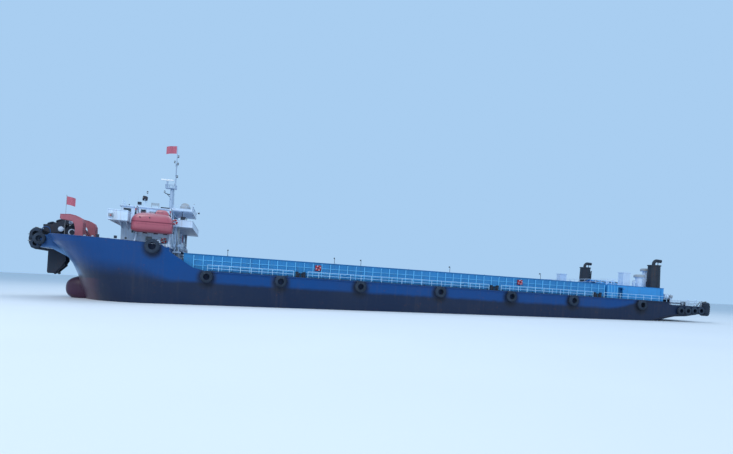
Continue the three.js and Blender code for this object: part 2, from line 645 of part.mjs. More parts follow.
add('roof_vents_port', roofVents(1045, 1170), WHITE);
add('roof_vents_starboard', mirrored(roofVents(920, 925)), WHITE);
add('deckhouse', deckhouse(), WHITE);
add('bridge_deck', bridgeDeck(), WHITE);
add('wheelhouse', wheelhouse(), WHITE);
add('wheelhouse_roof', wheelhouseRoof(), WHITE);
add('signal_mast', signalMast(), WHITE);
add('radar_scanner', radarScanner(), WHITE, [MAST.radar, 0, MAST.radarBase]);
add('ensign', ensign(), FLAG_RED);
addPair('lifeboat', lifeboat(), ORANGE, [0, -BOAT.y, BOAT.hook]);
addPair('davit', davit(), WHITE, [0, -DAVIT.y, DAVIT.pivot]);
addPair('davit_foot', davitFoot(), WHITE);
addPair('side_rail', sideRail(), RUBBER);
addPair('bollard_strip', bollardStrip(), BLACK_STEEL);
addPair('bow_tyre', geometryOf(tyreAt(1180, 900, 66, 28)), RUBBER);
addPair('propeller', propeller(), BRONZE, [SHAFT.propeller, -SHAFT.y, SHAFT.z]);
addPair('rudder', rudder(), BLACK_STEEL, [RUDDER.stock, -RUDDER.y, 0]);
addPair('stern_fender', sternFender(), RUBBER);
addPair('deckhouse_door', doorLeaf(WALL), GREY,
  [HOUSE.back, -DOOR_EDGES.deckhouse, leafFoot(FORECASTLE)], Math.PI / 2);
addPair('wheelhouse_door', doorLeaf(WALL), GREY,
  [DOOR_EDGES.wheelhouse, -WHEELHOUSE.half, leafFoot(BRIDGE.top)]);
addPair('casing_door', doorLeaf(CASING.wall), FENCE_BLUE,
  [CASING.end, -DOOR_EDGES.casing, leafFoot(DECK)], Math.PI / 2);
add('stern_winch_frame', sternWinchFrame(), BLACK_STEEL);
add('stern_winch_drum', sternWinchDrum(), GREY, [9370, 0, STERN_DECK + 69]);

export default barge;
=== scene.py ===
"""Self-propelled deck barge, a 1:10 model: finishes, fine shapes and fittings round its frame.

Lengths are metres on the model, so 0.1 is one metre of the real ship. A place along the ship is given aft
of the stem mark, port is -Y, and heights are above the flat keel.
"""

import math

import bmesh
import bpy
from mathutils import Matrix, Vector


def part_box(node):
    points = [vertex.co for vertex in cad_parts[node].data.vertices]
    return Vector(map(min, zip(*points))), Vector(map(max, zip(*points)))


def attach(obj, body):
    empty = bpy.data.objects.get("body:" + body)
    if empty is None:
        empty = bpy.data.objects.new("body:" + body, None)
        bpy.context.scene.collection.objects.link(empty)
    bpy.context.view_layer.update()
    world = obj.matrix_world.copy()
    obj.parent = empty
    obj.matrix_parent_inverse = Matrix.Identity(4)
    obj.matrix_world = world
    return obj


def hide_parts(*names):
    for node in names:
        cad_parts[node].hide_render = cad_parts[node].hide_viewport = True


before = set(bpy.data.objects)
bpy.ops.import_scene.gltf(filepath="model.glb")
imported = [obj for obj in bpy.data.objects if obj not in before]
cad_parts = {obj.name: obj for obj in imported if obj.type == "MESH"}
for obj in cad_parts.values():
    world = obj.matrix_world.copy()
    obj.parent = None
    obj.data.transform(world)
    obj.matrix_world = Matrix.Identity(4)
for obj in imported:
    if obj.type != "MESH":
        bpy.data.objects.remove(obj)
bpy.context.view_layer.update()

bl_info = {
    "name": "Deck barge",
    "version": (1, 0, 0),
    "blender": (4, 5, 0),
    "location": "View3D > Sidebar > Barge",
    "description": "Builds the finish and fittings of a 1:10 deck barge round its frame",
    "category": "Add Mesh",
}

X, Y, Z = (Vector(row) for row in Matrix.Identity(3))
SIDES = {"port": -1, "starboard": 1}
BOTH = (-1, 1)

# Places that come from the frame
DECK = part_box("hull_midship")[1].z
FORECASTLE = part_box("hull_bow")[1].z
CASING_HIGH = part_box("engine_casing")[1]
FENCE_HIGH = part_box("cargo_fence_port")[1]
MIDDLE = 4.73
HALF_BEAM = 1.1
STERN_DECK = 0.58
CASING_AFT = 9.11

# The house: tops of its two decks, and the walls of deckhouse and wheelhouse
BRIDGE_TOP = 1.215
ROOF_TOP = 1.47
HOUSE_FORE, HOUSE_AFT, HOUSE_HALF = 0.74, 1.385, 0.8
WHEELHOUSE_FORE, WHEELHOUSE_AFT, WHEELHOUSE_HALF = 0.67, 1.33, 0.48
HOUSE_MIDDLE = 1.0
POLE = 1.31

# Along the ship
TYRE_STATIONS = (1.88, 2.86, 3.98, 5.18, 6.32, 7.38, 8.62)
TYRE_HEIGHT = 0.546
BOW_TYRE = (1.18, 0.9)
BOLLARD_STATIONS = (3.13, 6.06, 7.84)
FUNNELS = {-1: 9.0, 1: 8.93}

# The water lies a little deeper at the stern: height above the keel at the stem mark, and rise per metre aft
WATER_AT_STEM = 0.132
WATER_SLOPE = 0.0192

# Camera of the picture, worked out from the perspective of the long side
PICTURE_WIDTH = 733
CAMERA_PLACE = (-2.560, -8.968, 0.515)
CAMERA_YAW = math.radians(13.61)
CAMERA_ROLL = math.radians(3.64)
CAMERA_FOCUS_PX = 570.3
CAMERA_SHIFT = 0.0851


def length_property(label, words, value):
    return bpy.props.FloatProperty(name=label, description=words, default=value, unit="LENGTH")


def colour_property(label, words, value):
    return bpy.props.FloatVectorProperty(
        name=label, description=words, subtype="COLOR", size=4, min=0, max=1, default=(*value, 1))


class BargeSizes(bpy.types.PropertyGroup):
    """Sizes that a user would change."""

    rail_height: length_property("Rail height", "Height of the deck-edge rail", 0.086)
    rail_radius: length_property("Rail radius", "Radius of rails and posts", 0.0031)
    rail_spacing: length_property("Post spacing", "Distance between rail posts", 0.15)
    rib_spacing: length_property("Rib spacing", "Distance between the fence's upright ribs", 0.1235)
    rib_width: length_property("Rib width", "Width of an upright rib of the fence", 0.012)
    lifebuoy_radius: length_property("Lifebuoy radius", "Outer radius of a lifebuoy", 0.036)
    flag_length: length_property("Flag length", "Length of the ensign from the staff", 0.157)
    flag_height: length_property("Flag height", "Height of the ensign at the staff", 0.112)


class BargeColours(bpy.types.PropertyGroup):
    """Paint and finish colours."""

    topsides: colour_property("Topsides", "Blue above the dark band", (0.002, 0.054, 0.205))
    lower_hull: colour_property("Lower hull", "Near-black band of the hull", (0.007, 0.018, 0.052))
    boot: colour_property("Boot", "Dark red under the water and on the bulb", (0.062, 0.026, 0.055))
    deck: colour_property("Deck", "Worn deck paint", (0.16, 0.085, 0.06))
    fence: colour_property("Fence", "Sky blue of fence and casing", (0.008, 0.18, 0.43))
    fence_rib: colour_property("Ribs", "Lighter blue of ribs and rails", (0.1, 0.42, 0.72))
    white: colour_property("White", "House paint", (0.54, 0.66, 0.81))
    orange: colour_property("Orange", "Guards on the forecastle", (0.36, 0.1, 0.13))
    casing: colour_property("Casing", "Brighter blue of the engine casing", (0.025, 0.27, 0.62))
    boat: colour_property("Boat", "Lifeboat shell", (0.4, 0.085, 0.12))
    black: colour_property("Black", "Machinery and funnels", (0.003, 0.012, 0.03))
    rubber: colour_property("Rubber", "Tyres and fenders", (0.006, 0.017, 0.036))
    rust: colour_property("Rust", "Streaks and chipped edges", (0.11, 0.045, 0.022))
    flag: colour_property("Flag", "Ensign cloth", (0.52, 0.11, 0.17))
    bronze: colour_property("Bronze", "Propellers", (0.42, 0.27, 0.1))



def sizes():
    return bpy.context.scene.barge_sizes


def colours():
    return bpy.context.scene.barge_colours


def at(aft, across, up):
    """Ship place, aft of the stem mark, to the frame."""
    return Vector((aft - MIDDLE, across, up))


def over(places, side=1):
    """Ship places to the frame, on starboard or mirrored to port."""
    return [at(x, side * y, z) for x, y, z in places]


def about(middle, half):
    return middle - half, middle + half


# Shapes
def drafts(count):
    return [bmesh.new() for _ in range(count)]


def cuboid(bm, low, high):
    matrix = Matrix.Translation((low + high) / 2) @ Matrix.Diagonal((*(high - low), 1))
    bmesh.ops.create_cube(bm, size=1, matrix=matrix)


def block(bm, aft, across, up):
    """A cuboid between pairs of ship places."""
    low = at(min(aft), min(across), min(up))
    cuboid(bm, low, at(max(aft), max(across), max(up)))


def blocks(bm, rows, ways=BOTH):
    """Blocks given for starboard, on each of the given sides."""
    for side in ways:
        for aft, across, up in rows:
            block(bm, aft, [side * y for y in across], up)


def facing(direction):
    return Vector(direction).to_track_quat("Z", "Y").to_matrix().to_4x4()


def rod(bm, start, end, radius, end_radius=None, sides=8):
    matrix = Matrix.Translation((start + end) / 2) @ facing(end - start)
    bmesh.ops.create_cone(
        bm, cap_ends=True, segments=sides, radius1=radius, depth=(end - start).length, matrix=matrix,
        radius2=radius if end_radius is None else end_radius)


def rods(bm, rows, sides=8, ways=BOTH):
    """Rods given for starboard by their ends and radius, on each of the given sides of the ship."""
    for side in ways:
        for start, end, radius in rows:
            rod(bm, *over((start, end), side), radius, sides=sides)


def ball(bm, centre, radius, sides=16):
    return bmesh.ops.create_uvsphere(
        bm, u_segments=sides, v_segments=max(6, sides // 2), radius=radius,
        matrix=Matrix.Translation(centre))["verts"]


def lathe(bm, profile, centre, axis=Z, steps=32):
    """Turns [radius, height] points about an axis through centre."""
    turn = Matrix.Translation(centre) @ facing(axis)
    edges = chain_edges(bm, [turn @ Vector((r, 0, z)) for r, z in profile])
    spin(bm, edges, centre, axis, steps)


def ring(bm, centre, axis, major, minor, steps=24, sides=10):
    turn = Matrix.Translation(centre) @ facing(axis)
    side = turn @ Matrix.Translation((major, 0, 0)) @ Matrix.Rotation(math.pi / 2, 4, "X")
    spin(bm, circle(bm, side, minor, sides), centre, axis, steps)


def spin(bm, edges, centre, axis, steps):
    """A full turn, closed on itself."""
    verts = list({vert for edge in edges for vert in edge.verts})
    bmesh.ops.spin(
        bm, geom=verts + edges, cent=centre, axis=Vector(axis).normalized(), angle=2 * math.pi, steps=steps,
        use_merge=True)


def circle(bm, matrix, radius, sides):
    made = bmesh.ops.create_circle(bm, segments=sides, radius=radius, matrix=matrix)["verts"]
    return list({edge for vert in made for edge in vert.link_edges})


def slab(bm, outline, run):
    """A flat outline of places, given thickness along run."""
    face = bm.faces.new([bm.verts.new(p) for p in outline])
    made = bmesh.ops.extrude_face_region(bm, geom=[face])["geom"]
    bmesh.ops.translate(bm, verts=[v for v in made if isinstance(v, bmesh.types.BMVert)], vec=run)


def bridged(bm, loops, closed=False, caps=True):
    """Faces from each loop of edges to the next, with the two ends closed over or joined."""
    pairs = list(zip(loops, loops[1:])) + ([(loops[-1], loops[0])] if closed else [])
    for first, second in pairs:
        bmesh.ops.bridge_loops(bm, edges=first + second)
    if caps and not closed:
        for loop in (loops[0], loops[-1]):
            bmesh.ops.contextual_create(bm, geom=loop)


def tube(bm, points, radius, sides=8, closed=False):
    """A round bar along points."""
    loops = []
    normal = None
    for i, point in enumerate(points):
        before = points[i - 1] if i or closed else point
        after = points[(i + 1) % len(points)] if i + 1 < len(points) or closed else point
        along = (after - before).normalized()
        if normal is None:
            normal = along.orthogonal()
        normal = (normal - along * normal.dot(along)).normalized()
        axes = Matrix((normal, along.cross(normal), along)).transposed().to_4x4()
        loops.append(circle(bm, Matrix.Translation(point) @ axes, radius, sides))
    bridged(bm, loops, closed)


def arc(centre, start, end, across, up, steps=8):
    """Points of an elliptical arc in the plane of two vectors, angles in degrees."""
    centre = Vector(centre)
    angles = [math.radians(start + (end - start) * i / steps) for i in range(steps + 1)]
    return [centre + across * math.cos(a) + up * math.sin(a) for a in angles]


def chain_edges(bm, points, closed=False):
    verts = [bm.verts.new(p) for p in points]
    edges = [bm.edges.new(pair) for pair in zip(verts, verts[1:])]
    if closed:
        edges.append(bm.edges.new((verts[-1], verts[0])))
    return edges


def skin(bm, rows, closed=True, caps=True):
    """A surface bridged over rows of points."""
    bridged(bm, [chain_edges(bm, row, closed) for row in rows], caps=caps)


def piece(bm, name, finish, body="hull", smooth=35, bevel=None, replaces=None):
    """Makes a mesh object that rides on a body, with a live bevel of (width, segments) where asked for."""
    bmesh.ops.remove_doubles(bm, verts=bm.verts, dist=1e-5)
    bmesh.ops.recalc_face_normals(bm, faces=bm.faces)
    limit = math.radians(smooth)
    for face in bm.faces:
        face.smooth = True
    for edge in bm.edges:
        edge.smooth = len(edge.link_faces) == 2 and edge.calc_face_angle(math.pi) < limit
    mesh = bpy.data.meshes.new(name)
    bm.to_mesh(mesh)
    bm.free()
    mesh.materials.append(MATERIALS[finish])
    thing = bpy.data.objects.new(name, mesh)
    bpy.context.scene.collection.objects.link(thing)
    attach(thing, body)
    if bevel:
        modifier = thing.modifiers.new("Bevel", "BEVEL")
        modifier.width, modifier.segments = bevel
        modifier.limit_method = "ANGLE"
        modifier.angle_limit = math.radians(40)
        modifier.harden_normals = True
    if replaces:
        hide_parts(replaces)
    return thing


# Shader nodes
def feed(tree, node, inputs):
    """Sets inputs, named or numbered, each to a value or to a socket that is linked to it."""
    for key, value in inputs.items():
        if isinstance(value, bpy.types.NodeSocket):
            tree.links.new(value, node.inputs[key])
        else:
            node.inputs[key].default_value = value


def put(tree, kind, inputs=None, **settings):
    """Adds a node with its settings and inputs."""
    node = tree.nodes.new(kind)
    for key, value in settings.items():
        setattr(node, key, value)
    feed(tree, node, inputs or {})
    return node


def maths(tree, operation, first, second=0.0, clamp=False, third=0.0):
    node = put(tree, "ShaderNodeMath", {0: first, 1: second, 2: third}, operation=operation, use_clamp=clamp)
    return node.outputs[0]


def times(tree, first, second, clamp=False):
    return maths(tree, "MULTIPLY", first, second, clamp)


def plus(tree, first, second, clamp=False):
    return maths(tree, "ADD", first, second, clamp)


def minus(tree, first, second, clamp=False):
    return maths(tree, "SUBTRACT", first, second, clamp)


def ratio(tree, first, second):
    return maths(tree, "DIVIDE", first, second)


def ramp(tree, value, low, high, out_low=0.0, out_high=1.0):
    node = put(tree, "ShaderNodeMapRange", {
        "Value": value, "From Min": low, "From Max": high, "To Min": out_low, "To Max": out_high},
        interpolation_type="SMOOTHSTEP")
    return node.outputs["Result"]


def mix(tree, factor, first, second):
    """Mixes two colours, each a socket or a value."""
    inputs = {"Factor": factor}
    for index, value in ((6, first), (7, second)):
        inputs[index] = value if isinstance(value, bpy.types.NodeSocket) else (*tuple(value)[:3], 1)
    return put(tree, "ShaderNodeMix", inputs, data_type="RGBA").outputs[2]


def noise(tree, vector, scale, detail=4.0, roughness=0.55, distortion=0.0):
    node = put(tree, "ShaderNodeTexNoise", {
        "Vector": vector, "Scale": scale, "Detail": detail, "Roughness": roughness, "Distortion": distortion})
    return node.outputs["Fac"]


def stretched(tree, vector, scale):
    return put(tree, "ShaderNodeMapping", {"Vector": vector, "Scale": scale}).outputs["Vector"]


def group_sockets(name, inputs, outputs):
    """A new shader group: its inputs are vectors where no default is given, its outputs are numbers."""
    group = bpy.data.node_groups.new(name, "ShaderNodeTree")
    for label, default in inputs.items():
        kind = "NodeSocketVector" if default is None else "NodeSocketFloat"
        socket = group.interface.new_socket(name=label, in_out="INPUT", socket_type=kind)
        if default is not None:
            socket.default_value = default
    for label in outputs:
        group.interface.new_socket(name=label, in_out="OUTPUT", socket_type="NodeSocketFloat")
    return group, group.nodes.new("NodeGroupInput"), group.nodes.new("NodeGroupOutput")


def weathering_group():
    """Streaks that run down a side, broad faded patches, chips and a fine grain."""
    group, start, end = group_sockets(
        "Weathering", {"Vector": None, "Streaks": 0.5, "Chips": 0.3, "Size": 1.0},
        ("Streak", "Patch", "Chip", "Grain"))
    vector = put(group, "ShaderNodeVectorMath", {0: start.outputs["Vector"]}, operation="SCALE")
    group.links.new(start.outputs["Size"], vector.inputs["Scale"])
    vector = vector.outputs[0]
    runs = noise(group, stretched(group, vector, (14, 14, 0.9)), 1.6, 5, 0.62)
    broad = noise(group, stretched(group, vector, (1, 1, 0.6)), 2.2, 3)
    runs = ramp(group, times(group, runs, plus(group, broad, 0.5)), 0.5, 0.74)
    patch = ramp(group, noise(group, vector, 1.7, 6, 0.6, 0.3), 0.35, 0.7)
    spots = noise(group, vector, 26, 8, 0.68, 0.4)
    chip = ramp(group, plus(group, spots, times(group, broad, 0.16)), 0.69, 0.72)
    grain = noise(group, vector, 190, 3)
    feed(group, end, {
        "Streak": times(group, runs, start.outputs["Streaks"], True),
        "Patch": patch,
        "Chip": times(group, chip, start.outputs["Chips"], True),
        "Grain": grain,
    })


def seams_group():
    """Welds, as lines at a spacing along X and Z, and the slight hollows of the plates between them."""
    group, start, end = group_sockets(
        "Plate seams", {"Vector": None, "Along": 0.6, "Up": 0.18, "Width": 0.004}, ("Line", "Hollow"))
    axes = put(group, "ShaderNodeSeparateXYZ", {0: start.outputs["Vector"]})
    lines, hollows = [], []
    for axis, spacing in (("X", "Along"), ("Z", "Up")):
        step = ratio(group, axes.outputs[axis], start.outputs[spacing])
        away = maths(group, "ABSOLUTE", minus(group, maths(group, "FRACT", step), 0.5))
        reach = ratio(group, start.outputs["Width"], start.outputs[spacing])
        near = minus(group, 0.5, away)
        lines.append(minus(group, 1.0, ratio(group, near, reach), True))
        hollows.append(maths(group, "POWER", times(group, away, 2.0), 2.0))
    feed(group, end, {"Line": maths(group, "MAXIMUM", *lines), "Hollow": plus(group, *hollows)})


def use_group(tree, name, inputs):
    return put(tree, "ShaderNodeGroup", inputs, node_tree=bpy.data.node_groups[name]).outputs


def new_material(name):
    material = bpy.data.materials.new(name)
    material.use_nodes = True
    tree = material.node_tree
    tree.nodes.clear()
    shader = put(tree, "ShaderNodeBsdfPrincipled")
    put(tree, "ShaderNodeOutputMaterial", {"Surface": shader.outputs[0]})
    vector = put(tree, "ShaderNodeTexCoord").outputs["Object"]
    return material, tree, shader, vector


def bump(tree, shader, height, strength, distance):
    node = put(tree, "ShaderNodeBump", {"Height": height, "Strength": strength, "Distance": distance})
    tree.links.new(node.outputs[0], shader.inputs["Normal"])


def painted(name, colour, rough=0.45, streaks=0.5, chips=0.3, size=1.0, fade=0.16, seams=None, dirt=None):
    """Marine paint on steel: faded patches, streaks of rust or dirt, chips, and weld seams if asked for."""
    material, tree, shader, vector = new_material(name)
    wear = use_group(tree, "Weathering", {"Vector": vector, "Streaks": streaks, "Chips": chips, "Size": size})
    colour = tuple(colour)[:3]
    faded = [c * (1 + fade) + 0.05 * fade for c in colour]
    base = mix(tree, wear["Patch"], colour, faded)
    base = mix(tree, times(tree, wear["Streak"], 0.55), base, dirt or colours().rust)
    base = mix(tree, wear["Chip"], base, colours().rust)
    dull = times(tree, plus(tree, wear["Streak"], wear["Chip"]), 0.3)
    grain = maths(tree, "MULTIPLY_ADD", wear["Grain"], 0.12, third=rough)
    feed(tree, shader, {"Base Color": base, "Roughness": plus(tree, grain, dull)})
    height = times(tree, wear["Grain"], 0.15)
    if seams:
        lines = use_group(tree, "Plate seams", {"Vector": vector, "Along": seams[0], "Up": seams[1]})
        height = plus(tree, height, plus(tree, lines["Line"], lines["Hollow"]))
    height = minus(tree, height, wear["Chip"])
    bump(tree, shader, height, 0.35, 0.0016)
    return material


def rough_metal(name, colour, rough=0.4, metallic=0.9, scale=1.0):
    material, tree, shader, vector = new_material(name)
    wear = use_group(tree, "Weathering", {"Vector": vector, "Streaks": 0.7, "Chips": 0.5, "Size": 4 * scale})
    base = mix(tree, wear["Patch"], colour, [c * 0.55 for c in tuple(colour)[:3]])
    base = mix(tree, wear["Chip"], base, colours().rust)
    dull = ramp(tree, wear["Grain"], 0, 1, rough - 0.1, rough + 0.2)
    feed(tree, shader, {"Base Color": base, "Roughness": dull, "Metallic": metallic})
    bump(tree, shader, wear["Grain"], 0.3, 0.0006)
    return material


def rubber_material(name):
    """Sun-greyed rubber with scuffs."""
    material, tree, shader, vector = new_material(name)
    wear = use_group(tree, "Weathering", {"Vector": vector, "Streaks": 0.6, "Chips": 0.4, "Size": 3.0})
    grey = [c * 1.6 + 0.012 for c in tuple(colours().rubber)[:3]]
    base = mix(tree, wear["Patch"], colours().rubber, grey)
    base = mix(tree, wear["Streak"], base, (0.04, 0.04, 0.038))
    feed(tree, shader, {"Base Color": base, "Roughness": ramp(tree, wear["Grain"], 0, 1, 0.7, 0.95)})
    bump(tree, shader, plus(tree, wear["Grain"], wear["Patch"]), 0.4, 0.001)
    return material


def shell_material(name, colour):
    """Moulded glass fibre: glossy, with painted light that makes faces turned up paler, and a faint waviness.
    """
    material, tree, shader, vector = new_material(name)
    wear = use_group(tree, "Weathering", {"Vector": vector, "Streaks": 0.5, "Chips": 0.0, "Size": 2.5})
    normal = put(tree, "ShaderNodeSeparateXYZ", {0: put(tree, "ShaderNodeNewGeometry").outputs["Normal"]})
    # Painted light: faces that turn upward are painted paler, as if lit from above, and lower faces stay
    # darker
    pale = [c + (0.8 - c) * 0.22 for c in tuple(colour)[:3]]
    base = mix(tree, ramp(tree, normal.outputs["Z"], 0.1, 1.0), colour, pale)
    base = mix(tree, times(tree, wear["Streak"], 0.35), base, (0.1, 0.05, 0.04))
    shine = ramp(tree, wear["Patch"], 0, 1, 0.28, 0.45)
    feed(tree, shader, {"Base Color": base, "Roughness": shine, "Coat Weight": 0.25})
    bump(tree, shader, plus(tree, wear["Patch"], times(tree, wear["Grain"], 0.1)), 0.15, 0.002)
    return material


def glass_material(name):
    """Dark tinted glazing with a film of salt."""
    material, tree, shader, vector = new_material(name)
    film = ramp(tree, noise(tree, vector, 30, 4), 0.4, 0.8)
    base = mix(tree, film, (0.025, 0.045, 0.07), (0.07, 0.1, 0.13))
    shine = ramp(tree, film, 0, 1, 0.05, 0.25)
    feed(tree, shader, {"Base Color": base, "Roughness": shine, "Transmission Weight": 0.35})
    return material


def cloth_material(name, colour):
    """Thin bunting with a fine weave that follows its own UV map."""
    material, tree, shader, _ = new_material(name)
    vector = put(tree, "ShaderNodeUVMap", uv_map="weave").outputs[0]
    threads = [
        put(tree, "ShaderNodeTexWave", {"Vector": vector, "Scale": 60.0, "Distortion": 0.4},
            bands_direction=direction).outputs["Fac"] for direction in ("X", "Y")]
    weave = times(tree, *threads)
    cloudy = noise(tree, vector, 5, 3)
    base = mix(tree, cloudy, colour, [c * 0.75 + 0.05 for c in tuple(colour)[:3]])
    base = mix(tree, times(tree, weave, 0.3), base, (0.3, 0.02, 0.03))
    feed(tree, shader, {"Base Color": base, "Roughness": 0.85, "Sheen Weight": 0.3})
    bump(tree, shader, weave, 0.3, 0.0004)
    return material


def lamp_material(name):
    """Ribbed lens of a lamp."""
    material, tree, shader, vector = new_material(name)
    wave = put(tree, "ShaderNodeTexWave", {"Vector": vector, "Scale": 90.0}, bands_direction="Z")
    bands = wave.outputs["Fac"]
    base = mix(tree, bands, (0.5, 0.55, 0.58), (0.72, 0.76, 0.78))
    feed(tree, shader, {"Base Color": base, "Roughness": 0.12, "Transmission Weight": 0.4})
    bump(tree, shader, bands, 0.3, 0.001)
    return material


def wood_material(name, colour, width):
    """Planks that run along the ship, with grain, dirt in the joints and worn tracks."""
    material, tree, shader, vector = new_material(name)
    axes = put(tree, "ShaderNodeSeparateXYZ", {0: vector})
    step = ratio(tree, axes.outputs["Y"], width)
    away = maths(tree, "ABSOLUTE", minus(tree, maths(tree, "FRACT", step), 0.5))
    near = minus(tree, 0.5, away)
    joint = ramp(tree, near, 0.0, 0.05, 1.0, 0.0)
    plank = maths(tree, "FLOOR", step)
    shade = put(tree, "ShaderNodeTexWhiteNoise", {"W": plank}, noise_dimensions="1D").outputs["Value"]
    grain = noise(tree, stretched(tree, vector, (3, 60, 60)), 3.0, 6, 0.6)
    worn = ramp(tree, noise(tree, stretched(tree, vector, (0.6, 3, 1)), 2.2, 7, 0.7), 0.42, 0.66)
    dark = [c * 0.6 for c in colour]
    pale = [c * 0.8 + 0.06 for c in colour]
    base = mix(tree, shade, colour, dark)
    base = mix(tree, times(tree, grain, 0.5), base, pale)
    base = mix(tree, times(tree, worn, 0.6), base, (0.13, 0.12, 0.11))
    base = mix(tree, joint, base, (0.012, 0.011, 0.01))
    feed(tree, shader, {"Base Color": base, "Roughness": ramp(tree, grain, 0, 1, 0.6, 0.9)})
    bump(tree, shader, minus(tree, grain, times(tree, joint, 2.0)), 0.4, 0.0015)
    return material


def hull_material():
    """Blue topsides over a near-black band over dark red, with worn decks, welds, rust, darkening round the
    fenders, painted shade under the bow's flare and at the stern, and a painted reflection along the stem.
    """
    material, tree, shader, vector = new_material("hull_paint")
    paint = colours()
    axes = put(tree, "ShaderNodeSeparateXYZ", {0: vector})
    x, z = (axes.outputs[a] for a in "XZ")
    wear = use_group(tree, "Weathering", {"Vector": vector, "Streaks": 0.7, "Chips": 0.35, "Size": 1.0})
    ragged = noise(tree, vector, 5.5, 6, 0.65)
    height = plus(tree, z, maths(tree, "MULTIPLY_ADD", ragged, 0.05, third=-0.025))

    # Top of the dark band: a level line, raised as painted shade that is soft and high under the flare of the
    # bow and climbs towards the stern, whose side turns away from the light
    flare_shade_rise = ramp(tree, x, at(0.8, 0, 0).x, at(1.5, 0, 0).x, 0.13, 0.0)
    softness = ramp(tree, x, at(0.7, 0, 0).x, at(1.7, 0, 0).x, 0.14, 0.03)
    # Painted shade: the dark band rises aft, where the stern's side turns away from the light
    aft = ramp(tree, x, at(8.0, 0, 0).x, at(9.0, 0, 0).x, 0.0, 0.2)
    band_and_shade_top = plus(tree, plus(tree, flare_shade_rise, aft), 0.466)
    above = ratio(tree, minus(tree, height, band_and_shade_top), softness)
    blue = ramp(tree, above, -1.0, 1.0)
    water = maths(tree, "MULTIPLY_ADD", x, WATER_SLOPE, third=WATER_AT_STEM - 0.022 + WATER_SLOPE * MIDDLE)
    under = ramp(tree, minus(tree, water, height), -0.01, 0.01)
    forefoot = times(tree, ramp(tree, x, at(0.37, 0, 0).x, at(0.58, 0, 0).x, 1.0, 0.0),
                     ramp(tree, height, 0.42, 0.45, 1.0, 0.0))
    red = maths(tree, "MAXIMUM", under, forefoot)

    scuffed = mix(tree, times(tree, wear["Patch"], 0.35), paint.lower_hull, (0.02, 0.03, 0.055))
    topsides = mix(tree, times(tree, wear["Patch"], 0.5), paint.topsides,
                   [c * 0.8 + 0.006 for c in tuple(paint.topsides)[:3]])
    base = mix(tree, blue, scuffed, topsides)
    base = mix(tree, red, base, mix(tree, wear["Patch"], paint.boot, (0.062, 0.036, 0.05)))

    # A painted reflection: a pale ragged band along the stem stands in for the sheen of sky and water on the
    # flare
    stem = maths(tree, "MULTIPLY_ADD", z, -0.76, third=at(0.49, 0, 0).x)
    near = ramp(tree, minus(tree, x, stem), 0.03, 0.19, 1.0, 0.0)
    span = times(tree, ramp(tree, z, 0.44, 0.5), ramp(tree, z, 0.76, 0.86, 1.0, 0.12))
    near = times(tree, near, span)
    near = times(tree, near, ramp(tree, ragged, 0.25, 0.6, 0.65, 1.0))
    base = mix(tree, near, base, (0.15, 0.29, 0.5))

    # Scrapes left by quays, short level strokes
    stroke = noise(tree, stretched(tree, vector, (1.2, 1, 26)), 4.5, 6, 0.7, 0.5)
    scrape = times(tree, ramp(tree, stroke, 0.66, 0.72), ramp(tree, z, 0.2, 0.45))
    base = mix(tree, times(tree, scrape, 0.35), base, (0.12, 0.14, 0.18))

    # Darker round each fender, ragged at its edge
    marks = None
    for aft, up in [(a, TYRE_HEIGHT) for a in TYRE_STATIONS] + [BOW_TYRE]:
        away = maths(tree, "ADD",
                     maths(tree, "POWER", minus(tree, x, at(aft, 0, 0).x), 2.0),
                     times(tree, maths(tree, "POWER", minus(tree, z, up - 0.02), 2.0), 0.8))
        mark = ramp(tree, maths(tree, "SQRT", away), 0.08, 0.16, 1.0, 0.0)
        marks = mark if marks is None else maths(tree, "MAXIMUM", marks, mark)
    marks = times(tree, marks, ramp(tree, ragged, 0.2, 0.6, 0.45, 0.85))
    base = mix(tree, marks, base, (0.012, 0.016, 0.026))
    base = mix(tree, times(tree, wear["Streak"], 0.16), base, (0.09, 0.07, 0.06))
    base = mix(tree, times(tree, wear["Chip"], 0.6), base, paint.rust)

    # Decks, which face up
    normal = put(tree, "ShaderNodeSeparateXYZ", {0: put(tree, "ShaderNodeNewGeometry").outputs["Normal"]})
    up = ramp(tree, normal.outputs["Z"], 0.93, 0.97)
    tracks = noise(tree, stretched(tree, vector, (0.5, 6, 1)), 2.5, 7, 0.7, 0.6)
    worn = mix(tree, ramp(tree, tracks, 0.45, 0.7), paint.deck, (0.17, 0.16, 0.15))
    worn = mix(tree, ramp(tree, noise(tree, vector, 6, 8, 0.7), 0.55, 0.75), worn, (0.09, 0.05, 0.035))
    base = mix(tree, up, base, worn)
    rough = plus(tree, ramp(tree, wear["Patch"], 0, 1, 0.32, 0.5),
                  times(tree, plus(tree, up, marks), 0.3), True)
    feed(tree, shader, {"Base Color": base, "Roughness": rough, "Specular IOR Level": 0.24})
    lines = use_group(tree, "Plate seams", {"Vector": vector, "Along": 0.6, "Up": 0.165, "Width": 0.0035})
    fine = use_group(tree, "Plate seams", {"Vector": vector, "Along": 0.075, "Up": 0.165, "Width": 0.002})
    relief = plus(tree, lines["Line"], times(tree, fine["Hollow"], 0.6))
    relief = plus(tree, relief, times(tree, plus(tree, wear["Grain"], scrape), 0.2))
    bump(tree, shader, relief, 0.3, 0.002)
    return material



